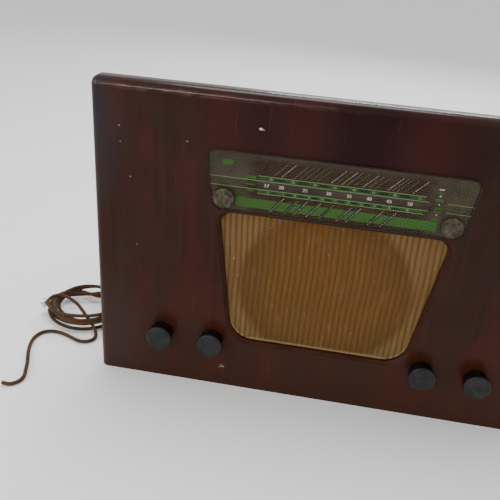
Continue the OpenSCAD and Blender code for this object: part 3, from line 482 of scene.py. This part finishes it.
def braid(name, dark, pale, across, along):
    """Two-way plaited cotton. The piece's own map runs 0 to 1 round the cord and in turns along it."""
    f = Finish(name, Sheen_Weight=0.06, Sheen_Roughness=0.5, Specular_IOR_Level=0.15, Roughness=0.85)
    uv = f.add("SeparateXYZ", {0: f.add("TexCoord").outputs["UV"]})
    turns = []
    for sense in (1, -1):
        lay = f.maths("ADD", f.times(uv.outputs[0], across * sense), f.times(uv.outputs[1], along))
        turns.append(f.times(f.maths("SINE", f.times(lay, TAU)), 0.5))
    weave = f.maths("ADD", f.maths("MAXIMUM", turns[0], turns[1]), 0.5)
    fuzz = f.noise(1200, 3, 0.7)
    grime = f.noise(28, 4, 0.65)
    thread = f.mix(f.span(weave, 0.35, 0.95), dark, pale)
    thread = f.stain(thread, grime, 0.48, 0.72, 0.65, [c * 0.35 for c in dark])
    thread = f.stain(thread, fuzz, 0.55, 0.8, 0.35, [min(1, c * 1.6) for c in pale])
    return f.colour(thread).bump(weave, 0.0005, 0.8).bump(fuzz, 0.0002).material


# ---- meshes ----

def strip_faces(rows, columns, closed=False):
    """Quads joining each point of a rows by columns grid to the next row and column; closed joins the
    last column to the first."""
    here = np.arange(rows - 1)[:, None] * columns
    below = here + columns
    j = np.arange(columns if closed else columns - 1)[None, :]
    across = (j + 1) % columns
    return np.stack([here + j, here + across, below + across, below + j], -1).reshape(-1, 4)


def build(name, points, faces, material, body="receiver", smooth=30):
    """A piece from metre points (any grid shape, 3 last) and index lists, smoothed up to an angle."""
    mesh = bpy.data.meshes.new(name)
    mesh.from_pydata(np.asarray(points, float).reshape(-1, 3), [], [list(f) for f in faces])
    mesh.update()
    mesh.materials.append(material)
    piece = show(name, mesh)
    if smooth:
        mesh.shade_smooth()
        mesh.set_sharp_from_angle(angle=math.radians(smooth))
    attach(piece, body)
    return piece


def turned(profile, centre, ripple, steps):
    """Points and faces of a solid turned about a line along Y through centre (x, z).
    profile is rows of (radius, y) whose first and last radius are 0. ripple(angle, row) gives a factor
    on the radius."""
    profile = np.asarray(profile, float)
    angle = np.linspace(0, TAU, steps, endpoint=False)
    radius = profile[:, :1] * ripple(angle[None, :], np.arange(len(profile))[:, None])
    points = np.stack([centre[0] + radius * np.cos(angle), profile[:, 1:] * np.ones(steps),
                       centre[1] + radius * np.sin(angle)], -1)
    return points, strip_faces(len(profile), steps, closed=True)


def join_up(piece):
    """Merges doubled points, as at a pole, and turns every face outwards."""
    mesh = bmesh.new()
    mesh.from_mesh(piece.data)
    bmesh.ops.remove_doubles(mesh, verts=mesh.verts, dist=1e-6)
    bmesh.ops.dissolve_degenerate(mesh, edges=mesh.edges, dist=1e-7)
    bmesh.ops.recalc_face_normals(mesh, faces=mesh.faces)
    mesh.to_mesh(piece.data)
    mesh.free()
    return piece


def eased(node, name, material, width, smooth=30):
    """A copy of a CAD node with merged points, softened edges and smooth faces, in the node's stead."""
    source = nodes[node]
    mesh = bmesh.new()
    mesh.from_mesh(source.data)
    bmesh.ops.remove_doubles(mesh, verts=mesh.verts, dist=2e-6)
    bmesh.ops.dissolve_limit(mesh, angle_limit=math.radians(0.5), verts=mesh.verts, edges=mesh.edges)
    data = bpy.data.meshes.new(name)
    mesh.to_mesh(data)
    mesh.free()
    data.materials.append(material)
    piece = show(name, data)
    data.shade_smooth()
    data.set_sharp_from_angle(angle=math.radians(smooth))
    if width:
        bevel = piece.modifiers.new("eased edges", "BEVEL")
        bevel.width = width
        bevel.segments = 2
        bevel.limit_method = "ANGLE"
        bevel.angle_limit = math.radians(35)
        bevel.use_clamp_overlap = True
        bevel.harden_normals = True
    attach(piece, source["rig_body"])
    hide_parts(node)
    return piece


def dress(node, material):
    """A CAD node that keeps its shape and gets a finish."""
    data = nodes[node].data
    data.materials.clear()
    data.materials.append(material)


def smooth_curve(points, per):
    """Catmull-Rom curve through the points: a cubic between each two, its slope half the step across."""
    p = np.asarray(points, float)
    p = np.vstack([2 * p[0] - p[1], p, 2 * p[-1] - p[-2]])
    t = np.linspace(0, 1, per, endpoint=False)[None, :, None]
    a, b, c, d = (p[i:len(p) - 3 + i, None, :] for i in range(4))
    square, cube = 2 * a - 5 * b + 4 * c - d, 3 * b - a - 3 * c + d
    line = 0.5 * (2 * b + (c - a) * t + square * t ** 2 + cube * t ** 3)
    return np.vstack([line.reshape(-1, 3), p[-2:-1]])


def tube(path, radius, sides):
    """Rings of sides points round path, square to it, carried along with no twist, and their end caps.
    Returns points, faces and, for each point, its share round and its distance along."""
    ahead = np.gradient(path, axis=0)
    ahead /= np.linalg.norm(ahead, axis=1)[:, None]
    side = np.cross(ahead, (0, 0, 1.0))
    side /= np.maximum(np.linalg.norm(side, axis=1), 1e-9)[:, None]
    up = np.cross(side, ahead)
    angle = np.linspace(0, TAU, sides + 1)
    rings = path[:, None, :] + radius * (np.cos(angle)[None, :, None] * side[:, None, :]
                                         + np.sin(angle)[None, :, None] * up[:, None, :])
    along = np.concatenate([[0], np.cumsum(np.linalg.norm(np.diff(path, axis=0), axis=1))])
    n, m = len(path), sides + 1
    faces = [list(q) for q in strip_faces(n, m)]
    faces += [list(range(m - 1))[::-1], list(range((n - 1) * m, n * m - 1))]
    return rings, faces, np.linspace(0, 1, m), along


make_camera()
make_lights()


# ---- mains cord ----

CORD_D = 5 * MM
LEAD = np.array([[-170, 212, 40], [-170, 226, 38], [-175, 240, 30], [-187, 250, 18], [-205, 254, 8],
                 [-228, 250, 3], [-252, 238, 3], [-272, 219, 3], [-285, 196, 3], [-292, 172, 4],
                 [-295, 150, 6]]) * MM
TAIL = np.array([[-311.5, 50, 6], [-309.5, 40, 3], [-315, 31, 3], [-325.5, 28, 3], [-337, 31.5, 3],
                 [-350, 37, 3], [-363, 40.5, 3], [-376, 40, 3], [-386, 33, 3], [-390, 20, 3], [-388, 4, 3],
                 [-382, -14, 3], [-374, -32, 3], [-367.5, -50, 3], [-364, -62, 3], [-366, -72, 3],
                 [-373.5, -79, 3], [-384, -79, 3]]) * MM
CROSSING = np.array([[-391.5, 75, 20], [-400, 86, 21], [-396.5, 98.5, 23.5], [-383, 102, 25.5],
                     [-366.5, 94.5, 25.5], [-350, 82.5, 25], [-335, 70, 20], [-321, 60, 12]]) * MM
BRAID_LAY = 4.5 * MM  # length of one turn of the plait
COIL_TURNS = 5.4
COIL_MIDDLE = np.array([-350, 105]) * MM


def coil():
    """Loose turns run clockwise seen from above. The radius is 54 mm with a slow wave, drawn in at the
    left, the rear and the front by amounts that wave from turn to turn; the height climbs with a wave."""
    share = np.linspace(0, 1, int(COIL_TURNS * 16))
    angle = math.radians(20) - share * COIL_TURNS * TAU
    left = (0.5 - 0.5 * np.cos(angle)) ** 2
    rear, front = np.maximum(np.sin(angle), 0) ** 2, np.maximum(-np.sin(angle), 0) ** 2
    drawn_in = (left * 8 * (1 + np.sin(0.83 * angle + 1.0)) + rear * 14 * (1 + np.sin(0.57 * angle + 2.2))
                + front * 5 * (1 + np.sin(0.71 * angle)))
    radius = (54 + 3 * np.sin(angle / 2 + 0.6) - drawn_in) * MM
    height = (5 + 16.5 * share + 1.6 * np.sin(1.7 * angle)) * MM
    return np.stack([COIL_MIDDLE[0] + radius * np.cos(angle),
                     COIL_MIDDLE[1] + 1.02 * radius * np.sin(angle), height], -1)


def make_cord():
    """Lead from the gland, loose coil, a last stretch laid across the coil and the free tail, in one tube."""
    path = smooth_curve(np.vstack([LEAD, coil(), CROSSING, TAIL]), 6)
    step = np.linalg.norm(np.diff(path, axis=0), axis=1)
    path = path[np.concatenate([[True], step > 1e-6])]
    rings, faces, around, along = tube(path, CORD_D / 2, 12)
    cotton = braid("cord_braid", (0.022, 0.0100, 0.0045), (0.088, 0.044, 0.0195), 3, 1)
    cord = build("mains_cord", rings, faces, cotton, smooth=60)
    layer = cord.data.uv_layers.new(name="lay")
    corners = np.zeros(len(cord.data.loops), int)
    cord.data.loops.foreach_get("vertex_index", corners)
    uv = np.stack([np.tile(around, len(path)), np.repeat(along / BRAID_LAY, len(around))], -1)
    layer.data.foreach_set("uv", uv[corners].ravel())
    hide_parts("cord_lead", "cord_hank", "cord_tail")
    return cord, path, float(along[-1])


def make_fray():
    """Loose cotton ends where the braid has burst on the left of the coil: thin curved wisps, each a
    tube along a parabola that starts in the cord and droops. Lengths are in mm."""
    rng = np.random.default_rng(7)
    points, faces, first = [], [], 0
    for _ in range(26):
        heading = math.radians(150 + rng.uniform(-55, 75))
        reach = rng.uniform(6, 12)
        lift = rng.uniform(-3, 9)
        t = np.linspace(0, 1, 6)[:, None]
        start = np.array([-398.5, 85 + rng.uniform(-5, 5), 19 + rng.uniform(-3, 4)])
        line = start + t * reach * np.array([math.cos(heading), math.sin(heading), 0])
        line = line + np.array([0, 0, 1]) * (lift * t - 6 * t ** 2)
        line[:, 2] = np.maximum(line[:, 2], 1)
        rings, strips = tube(line * MM, 0.42 * MM, 5)[:2]
        points.append(rings.reshape(-1, 3))
        faces += [[i + first for i in f] for f in strips]
        first += rings.shape[0] * rings.shape[1]
    cotton = braid("fray_cotton", (0.10, 0.055, 0.016), (0.30, 0.185, 0.065), 2, 1)
    return build("cord_fray", np.vstack(points), faces, cotton, smooth=60)


mains_cord, cord_path, cord_length = make_cord()
cord_fray = make_fray()


# ---- front panel ----

# the loudspeaker opening: its lower and upper height, and its width at each
OPEN_LOW, OPEN_HIGH = 73 * MM, 245 * MM
WIDTH_LOW, WIDTH_HIGH = 214 * MM, 262 * MM


def half_width(z):
    """Half the opening's width at height z, on the straight line between its two widths."""
    return WIDTH_LOW / 2 + (WIDTH_HIGH - WIDTH_LOW) / 2 * (z - OPEN_LOW) / (OPEN_HIGH - OPEN_LOW)


def face_values(piece, what):
    """The "center" or the "normal" of every face of a piece, one row a face."""
    values = np.zeros(len(piece.data.polygons) * 3)
    piece.data.polygons.foreach_get(what, values)
    return values.reshape(-1, 3)


def second_finish(piece, material, chosen):
    """Another finish for the chosen faces, given as true or false for each."""
    piece.data.materials.append(material)
    piece.data.polygons.foreach_set("material_index", chosen.astype(int))


def make_panel():
    """The panel with its edges eased; faces of the bevel round the opening take their own finish."""
    panel = eased("front_panel", "veneered_panel", veneer(), 0.9 * MM, 32)
    x, y, z = face_values(panel, "center").T
    # the bevel reaches at most 6 mm past the opening, 3 mm above it
    near = (np.abs(x) < half_width(z) + 6 * MM) & (z > OPEN_LOW - 6 * MM) & (z < OPEN_HIGH + 3 * MM)
    before_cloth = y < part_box("speaker_cloth")[0][1]
    sloping = np.abs(face_values(panel, "normal")[:, 1]) < 0.95
    second_finish(panel, bevelled_edge(), near & before_cloth & sloping)


make_panel()


def make_cloth():
    """Cloth stretched on the board. Its face is a field over x and z: upright rounded ribs 6.7 mm apart,
    each |cos| to the power 0.7, hollowed a little over the loudspeaker hole."""
    low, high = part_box("speaker_cloth")
    pitch, columns_a_rib, rows, margin = 6.7 * MM, 8, 61, 12 * MM
    columns = int((high[0] - low[0]) / pitch * columns_a_rib) + 1
    z = low[2] + (high[2] - low[2]) * np.linspace(0, 1, rows)[:, None]
    half = half_width(z) + margin * 0.8
    z, x = z * np.ones((1, columns)), np.linspace(-1, 1, columns)[None, :] * half
    drift = 1.1 * MM * np.sin(z * 22 + 1.0) + 0.5 * MM * np.sin(z * 61)
    rib = np.abs(np.cos(math.pi * (x + drift) / pitch)) ** 0.7
    hollow = np.exp(-((x / 0.07) ** 2 + ((z - 0.156) / 0.07) ** 2) * 0.7)
    y = low[1] + (0.1 - 0.45 * rib + 0.5 * hollow) * MM
    front = np.stack([x, y, z], -1)
    back = np.stack([x, np.full_like(y, high[1] - 0.05 * MM), z], -1)
    n = rows * columns
    quads = strip_faces(rows, columns)
    ring = np.concatenate([np.arange(columns), np.arange(1, rows) * columns + columns - 1,
                           (rows - 1) * columns + np.arange(columns - 2, -1, -1),
                           np.arange(rows - 2, 0, -1) * columns])
    after = np.roll(ring, -1)
    sides = np.stack([ring, after, after + n, ring + n], -1)
    faces = np.vstack([quads, quads[:, ::-1] + n, sides[:, ::-1]])
    cloth = build("grille_cloth", np.vstack([front.reshape(-1, 3), back.reshape(-1, 3)]), faces,
                  grille_cloth(), smooth=60)
    # the rubbed line runs 1 mm in from the opening's edge and fades out upwards; the two lower corners
    # are arcs of 30 mm
    inset = np.minimum(half_width(z) - np.abs(x), z - OPEN_LOW)
    corner = np.hypot(np.maximum(np.abs(x) - (WIDTH_LOW / 2 - 26 * MM), 0),
                      np.maximum(OPEN_LOW + 30 * MM - z, 0))
    inset = np.where(corner > 0, np.minimum(inset, 30 * MM - corner), inset)
    edge = np.clip(1 - np.abs(inset - 1.0 * MM) / (1.6 * MM), 0, 1) * np.clip((0.13 - z) / 0.05, 0, 1)
    for name, values in (("rib", rib), ("edge", edge)):
        held = cloth.data.attributes.new(name, "FLOAT", "POINT")
        held.data.foreach_set("value", np.concatenate([values.ravel(), values.ravel()]))
    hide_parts("speaker_cloth")


make_cloth()


# ---- dial ----

GLASS_FRONT, GLASS_REAR = (corner[1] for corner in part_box("dial_glass"))
INK_Y = GLASS_REAR + 0.2 * MM
INK_LAYER = 0.03 * MM
SLOT_LOW, SLOT_HIGH, SLOT_END = 279.6 * MM, 289.2 * MM, 100 * MM
UPPER_ROW, MIDDLE_ROW, LOWER_ROW = 292.3, 284.4, 277.0  # heights of the three rows of numerals, mm


def make_glass():
    """The pane with its edges eased; its ground edges take their own finish."""
    pane = eased("dial_glass", "dial_pane", dial_glass(), 0.7 * MM)
    second_finish(pane, glass_rim(), np.abs(face_values(pane, "normal")[:, 1]) < 0.5)


make_glass()

GREEN = printed("green_ink", (0.032, 0.098, 0.0115), (0.027, 0.078, 0.0100))
DEEP_GREEN = printed("deep_green_ink", (0.022, 0.050, 0.010), (0.018, 0.040, 0.009))
BLACK = printed("black_ink", (0.006, 0.008, 0.004), (0.009, 0.009, 0.006))
PALE = printed("pale_ink", (0.62, 0.60, 0.48), (0.42, 0.42, 0.32))
NAMES = printed("name_ink", (0.42, 0.40, 0.30), (0.26, 0.25, 0.18))
LIGHT_GREEN = printed("light_green_ink", (0.15, 0.26, 0.085), (0.11, 0.19, 0.06))


def cut(ring, axis, at, side):
    """The part of a closed outline on one side of the plane axis = at: side 1 keeps the greater."""
    kept = []
    for a, b in zip(ring, np.roll(ring, -1, axis=0)):
        da, db = side * (a[axis] - at), side * (b[axis] - at)
        if da >= 0:
            kept.append(a)
        if da * db < 0:
            kept.append(a + (b - a) * da / (da - db))
    return np.array(kept)


def make_coating():
    """Flat sheets just behind the print: the glass's trapezoid, 1.5 mm in from its edge, its corners arcs,
    cut along straight lines to leave the slot that the pointer shows through."""
    # lower and upper height, width and corner radius
    z0, z1, w0, w1, r0, r1 = np.array([251.5, 318.5, 275.3, 290.7, 14, 8.5]) * MM
    lean = math.atan((w1 - w0) / 2 / (z1 - z0))
    x0 = w0 / 2 + r0 * math.tan(lean) - r0 / math.cos(lean)
    x1 = w1 / 2 - r1 * math.tan(lean) - r1 / math.cos(lean)
    ring = []
    for x, z, r, a0, a1 in ((x1, z1 - r1, r1, math.pi / 2, -lean), (x0, z0 + r0, r0, -lean, -math.pi / 2),
                            (-x0, z0 + r0, r0, -math.pi / 2, lean - math.pi),
                            (-x1, z1 - r1, r1, lean - math.pi, -1.5 * math.pi)):
        turn = np.linspace(a0, a1, 9)
        ring.append(np.stack([x + r * np.cos(turn), np.full(9, INK_Y + 0.1 * MM), z + r * np.sin(turn)], -1))
    ring = np.vstack(ring)[::-1]
    middle = cut(cut(ring, 2, SLOT_LOW, 1), 2, SLOT_HIGH, -1)
    sheets = [cut(ring, 2, SLOT_HIGH, 1), cut(ring, 2, SLOT_LOW, -1),
              cut(middle, 0, -SLOT_END, -1), cut(middle, 0, SLOT_END, 1)]
    first = np.cumsum([0] + [len(sheet) for sheet in sheets])
    build("glass_coating", np.vstack(sheets), [range(first[i], first[i + 1]) for i in range(4)],
          glass_coating(), smooth=0)


make_coating()


def bars(name, rows, ink, layer):
    """Flat printed strokes. Each row is x, z of one end, x, z of the other and the width, in mm; a stroke
    is the quad of its two ends moved half the width square to it. Lower layers lie further back."""
    r = np.asarray(rows, float) * MM
    a, b, width = r[:, 0:2], r[:, 2:4], r[:, 4:5]
    along = (b - a) / np.linalg.norm(b - a, axis=1)[:, None]
    across = np.stack([-along[:, 1], along[:, 0]], -1) * width / 2
    flat = np.stack([a - across, b - across, b + across, a + across], 1).reshape(-1, 2)
    points = np.stack([flat[:, 0], np.full(len(flat), INK_Y - layer * INK_LAYER), flat[:, 1]], -1)
    build(name, points, np.arange(len(points)).reshape(-1, 4), ink, smooth=0)


def numbers(name, items, size, ink):
    """Numerals set at (text, x, z) in mm, made into one mesh facing the front."""
    whole = bmesh.new()
    stand_up = Matrix.Rotation(math.pi / 2, 4, "X")
    for text, x, z in items:
        curve = bpy.data.curves.new(name, "FONT")
        curve.body = text
        curve.size = size * MM
        curve.align_x, curve.align_y = "CENTER", "CENTER"
        curve.resolution_u = 3
        label = show(name, curve)
        bpy.context.view_layer.update()
        mesh = bpy.data.meshes.new_from_object(label.evaluated_get(bpy.context.evaluated_depsgraph_get()))
        mesh.transform(Matrix.Translation((x * MM, INK_Y - 0.08 * MM, z * MM)) @ stand_up)
        bpy.data.objects.remove(label)
        whole.from_mesh(mesh)
    data = bpy.data.meshes.new(name)
    whole.to_mesh(data)
    whole.free()
    data.materials.append(ink)
    piece = show(name, data)
    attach(piece, "receiver")


def slanted(x, z0, z1, angle, marks, width):
    """A broken stroke rising from (x, z0) to height z1 at an angle in degrees: marks are start and end
    shares of each dash, which stand in for the station names."""
    dx = (z1 - z0) / math.tan(math.radians(angle))
    return [(x + dx * a, z0 + (z1 - z0) * a, x + dx * b, z0 + (z1 - z0) * b, width) for a, b in marks]


def dashes(seed, count, filled):
    """Dashes like small capitals, as start and end shares; seed moves each a little, and filled is how
    much of its place a dash takes up."""
    rng = np.random.default_rng(seed)
    start = (np.arange(count) + rng.uniform(0, 0.25, count)) / count
    return [(a, a + filled / count * rng.uniform(0.6, 1.15)) for a in start]


def level(x0, x1, z, width):
    """A level stroke from x0 to x1 at height z, in mm."""
    return x0, z, x1, z, width


def make_scales():
    """The green band, two dark strips with their lines, and three rows of numerals. The numerals are
    printed twice, a little apart, to thicken them."""
    upper = (-74.8, -50.5, -26.4, -4.6, 15.9, 36.9, 59.7, 86.1)
    lower = (-76.8, -60, -46.6, -31.1, -16.8, -2.5, 11.6, 25.8, 39.8, 56, 75.2)
    middle = (("17", -79.1), ("20", -62.8), ("25", -36.3), ("30", -10.6), ("35", 11.7), ("40", 33.3),
              ("45", 54.8), ("50", 77.0))
    bars("dial_band", [level(-112, 110, 262.1, 11.2)], GREEN, 0)
    bars("dial_strips", [level(-88, 92, UPPER_ROW, 5.2), level(-88, 92, LOWER_ROW, 4.4)], DEEP_GREEN, 0)
    bars("dial_lines", [level(-143.5, 97, 289.5, 0.7), level(-143, 97, 279.3, 0.7),
                        level(116, 144, 289.5, 0.6), level(116, 142.5, 279.3, 0.6),
                        level(-89, 93, 295.1, 0.65), level(-89, 93, 274.7, 0.65)], LIGHT_GREEN, 2)
    bars("dial_blocks", [level(x + 5.2, x + 15.5, UPPER_ROW, 2.6) for x in upper[:-1]]
         + [level(x + 3.6, x + 9.6, LOWER_ROW, 2.4) for x in lower[:-1]], BLACK, 1)
    for i, shift in enumerate((-0.22, 0.22)):
        numbers("dial_numerals_%d" % i, [(t, x + shift, MIDDLE_ROW) for t, x in middle], 5.8, PALE)
        numbers("upper_numerals_%d" % i,
                [(str(20 + 5 * k), x + shift, UPPER_ROW) for k, x in enumerate(upper)], 3.8, LIGHT_GREEN)
        numbers("lower_numerals_%d" % i,
                [(str(6 + k), x + shift, LOWER_ROW) for k, x in enumerate(lower)], 3.6, LIGHT_GREEN)
    bars("dial_labels", [level(-102.5, -91, 292.6, 3.4), level(-102.5, -91.5, MIDDLE_ROW, 1.6),
                         level(-100, -93, LOWER_ROW, 1.4), level(-129.5, -117.5, 306.5, 6.0)], GREEN, 2)


def make_names():
    """Slanted rows of dashes in the place of names, above the scales and across the green band. Each name
    is its x in mm and its ink: 0 green, 1 dim, 2 bright above; 0 green, 1 bright below."""
    above = ((-72, 1), (-63.3, 2), (-50, 1), (-43.5, 0), (-38, 0), (-31, 0), (-24.3, 0), (-9.5, 2),
             (-4, 0), (2, 2), (7.5, 1), (15, 0), (24.7, 2), (31, 1), (38, 0), (51, 2), (56, 1), (61, 1),
             (68, 0), (77.7, 2))
    filled, width = (0.95, 0.5, 0.66), (0.55, 0.65, 0.65)
    inks = [], [], []
    for i, (x, kind) in enumerate(above):
        inks[kind].extend(slanted(x, 297, 312.5, 46, dashes(i, 8, filled[kind]), width[kind]))
    bars("upper_names", inks[2], NAMES, 2)
    bars("upper_names_dim", inks[1], printed("dim_ink", (0.24, 0.22, 0.16), (0.16, 0.15, 0.11)), 2)
    bars("upper_names_green", inks[0],
         printed("mid_green_ink", (0.06, 0.125, 0.035), (0.045, 0.09, 0.025)), 2)
    below = ((-66, 1), (-50.2, 0), (-39.8, 1), (-25.1, 1), (-10.4, 0), (9.2, 1), (19, 1), (43, 1), (57.2, 1))
    breaks, inks = [], ([], [])
    for i, (x, kind) in enumerate(below):
        base = x - 6.5
        breaks.append((base + 1.2, 256.4, base + 10.6, 267.9, 3.4))
        inks[kind].extend(slanted(base - 0.5, 254, 272.5, 51, dashes(i + 80, 9, 0.55), 0.7))
    bars("band_breaks", breaks, BLACK, 1)
    bars("lower_names", inks[1], NAMES, 2)
    bars("lower_names_green", inks[0], LIGHT_GREEN, 2)


def make_marks():
    """Small pale and green marks in a column at the right of the scales."""
    bars("dial_marks", [level(104, 109.5, 305, 1.6), level(105.6, 107.6, 297.5, 1.6),
                        level(106.2, 107.8, 288, 1.6), level(106, 107.4, 275.8, 1.4)], NAMES, 3)
    bars("band_marks", [level(102, 111, 292.6, 3.0), level(103.5, 110, 283.5, 2.2),
                        level(103, 110.5, 279.5, 1.8), level(103.5, 110, 270.5, 2.6),
                        level(104.5, 109, 300.5, 1.4)], GREEN, 2)


make_scales()
make_names()
make_marks()


def dial_backing():
    """The painted plate behind the glass, brown-black with paler stains."""
    f = Finish("dial_backing", Specular_IOR_Level=0.2, Roughness=0.7)
    stain = f.noise(30, 4, 0.65)
    return f.colour(f.ramp(stain, (0.35, (0.060, 0.042, 0.030)), (0.7, (0.110, 0.080, 0.056)))).material


eased("dial_plate", "dial_backing", dial_backing(), 0.2 * MM)


def make_caps():
    """Domed nickel discs: a quarter-round rim, a dome whose height falls with the square of the radius,
    and a shank. The radius is uneven by a small sine of three waves round, shifted from ring to ring."""
    low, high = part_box("glass_caps")
    radius = (high[2] - low[2]) / 2
    z = (high[2] + low[2]) / 2
    top, seat, rim_r = low[1], GLASS_FRONT, 1.6 * MM
    dome = [(r * (radius - rim_r), top + 0.55 * MM * r ** 2) for r in np.linspace(0, 0.98, 12)]
    rim = [(radius - rim_r + rim_r * math.sin(a), seat - 1.0 * MM - rim_r * math.cos(a))
           for a in np.linspace(0.35, math.pi / 2, 7)]
    shank = [(radius - 0.3 * MM, seat), (2.75 * MM, seat), (2.75 * MM, high[1] - 1 * MM), (0, high[1])]
    finish = plated("old_nickel", (0.092, 0.080, 0.053), (0.030, 0.027, 0.018), 0.35, 0.38)
    for name, x in (("left_cap", low[0] + radius), ("right_cap", high[0] - radius)):

        def uneven(angle, row, x=x):
            return 1 + 0.012 * np.sin(3 * angle + 40 * x + row)

        points, faces = turned(dome + rim + shank, (x, z), uneven, 72)
        join_up(build(name, points, faces, finish))
    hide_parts("glass_caps")


make_caps()
dress("glass_washers", felt())


# ---- knobs ----

def make_knob(node, name, body, resin):
    """A turned knob: a face domed with the square of the radius, a quarter-round shoulder, and a tapering
    skirt with eighteen flutes, which are a cosine on the radius, deeper below the shoulder."""
    low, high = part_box(node)
    x, z = (low[0] + high[0]) / 2, (low[2] + high[2]) / 2
    radius, face, rear = (high[2] - low[2]) / 2, low[1], high[1]
    shoulder, dome, taper, bore_r, bore = 2.6 * MM, 0.25 * MM, 2.2 * MM, 3.3 * MM, 10 * MM
    skirt_top = face + shoulder
    profile = [(0, face)] + [(radius * r, face + dome * (r / 0.8) ** 2) for r in np.linspace(0.1, 0.8, 11)]
    profile += [(radius - shoulder + shoulder * math.sin(a), face + dome + shoulder - shoulder * math.cos(a))
                for a in np.linspace(0.1, math.pi / 2, 9)]
    first_flute = len(profile)
    profile += [(radius - 0.4 * MM - taper * t ** 1.6, skirt_top + (rear - skirt_top) * t)
                for t in np.linspace(0.06, 1, 14)]
    last_flute = len(profile)
    profile += [(radius - 3.2 * MM, rear), (bore_r, rear), (bore_r, rear - bore), (0, rear - bore)]

    def flutes(angle, row):
        depth = np.clip((row - first_flute) / 3.0, 0, 1) * (row < last_flute)
        return 1 - 0.085 * depth * (0.5 + 0.5 * np.cos(18 * angle)) ** 1.5

    points, faces = turned(profile, (x, z), flutes, 144)
    knob = join_up(build(name, points, faces, resin, body, smooth=40))
    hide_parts(node)


knob_resin = bakelite()
for part in ("volume", "tone", "band", "tuning"):
    make_knob(part + "_knob", part + "_bakelite_knob", part, knob_resin)


# ---- case and back ----

ply_x = raw_wood("ply_top", (0.055, 0.022, 0.012), (0.12, 0.055, 0.03), (5, 60, 60), 0.5)
ply_z = raw_wood("ply_side", (0.055, 0.022, 0.012), (0.12, 0.055, 0.03), (60, 60, 5), 0.5)
for part, finish in (("case_top", ply_x), ("case_bottom", ply_x),
                     ("case_left_side", ply_z), ("case_right_side", ply_z)):
    eased(part, part + "_board", finish, 0.7 * MM)
dress("back_cover", hardboard())
dress("back_screws", plated("screw_brass", (0.6, 0.42, 0.18), (0.2, 0.13, 0.06), 0.2))
eased("rear_feet", "rear_foot_pads", rubber(), 0)
eased("cord_gland", "cord_bush", rubber(), 0.5 * MM)


# ---- inside ----

zinc = plated("zinc_sheet", (0.42, 0.42, 0.4), (0.2, 0.2, 0.18), 0.4)
steel = plated("bright_steel", (0.5, 0.5, 0.5), (0.25, 0.24, 0.22), 0.2, 0.25)
dull_aluminium = plated("dull_aluminium", (0.6, 0.6, 0.6), (0.36, 0.36, 0.35), 0.0, 0.35)
brass = plated("turned_brass", (0.6, 0.42, 0.18), (0.26, 0.17, 0.07), 0.0, 0.3)
cord_thread = raw_wood("dial_cord_thread", (0.16, 0.12, 0.06), (0.4, 0.33, 0.2), (900, 900, 900), 0.8)
paxolin = moulded("paxolin", (0.09, 0.035, 0.013), (0.2, 0.09, 0.035))
finishes = {
    zinc: "chassis gang_bracket drum_bracket pulley_bar gang_frame chassis_bolts pointer_rail control_nuts",
    steel: "volume_shaft tone_shaft band_shaft tuning_spindle speaker_screws",
    dull_aluminium: "drive_drum gang_rotor gang_stator if_cans smoothing_capacitor",
    brass: "spindle_bush pulley_left pulley_right pulley_middle",
    painted("speaker_enamel", (0.03, 0.034, 0.034), (0.2, 0.19, 0.17)): "speaker_frame speaker_magnet",
    paper(): "speaker_cone",
    painted("pot_enamel", (0.06, 0.06, 0.055), (0.3, 0.3, 0.28)): "volume_pot tone_pot",
    paxolin: "band_switch aerial_socket_plate valve_sockets lamp_holders",
    painted("pointer_enamel", (0.02, 0.016, 0.012), (0.2, 0.17, 0.1)): "pointer",
    cord_thread: "pointer_cord drive_cord",
    clear_glass("lamp_glass", (0.6, 0.55, 0.42), 0.45): "dial_lamps",
    clear_glass("valve_glass", (0.18, 0.18, 0.17), 0.75): "valves",
    painted("iron_varnish", (0.02, 0.02, 0.019), (0.12, 0.07, 0.04), 0.4):
        "mains_transformer output_transformer",
    raw_wood("raw_ply", (0.16, 0.09, 0.045), (0.32, 0.2, 0.11), (5, 60, 60), 0.7): "speaker_board",
}
for finish, parts in finishes.items():
    for part in parts.split():
        dress(part, finish)


# ---- floor ----

def make_floor():
    """A wide pale sheet under everything."""
    f = Finish("pale_floor", Specular_IOR_Level=0.1, Roughness=0.9)
    f.colour(f.ramp(f.noise(3, 3), (0.2, (0.88, 0.88, 0.88)), (0.8, (0.9, 0.9, 0.9))))
    reach = 12
    corners = [(-reach, -reach, 0), (reach, -reach, 0), (reach, reach, 0), (-reach, reach, 0)]
    mesh = bpy.data.meshes.new("floor")
    mesh.from_pydata(corners, [], [(0, 1, 2, 3)])
    mesh.materials.append(f.material)
    show("floor", mesh)


make_floor()
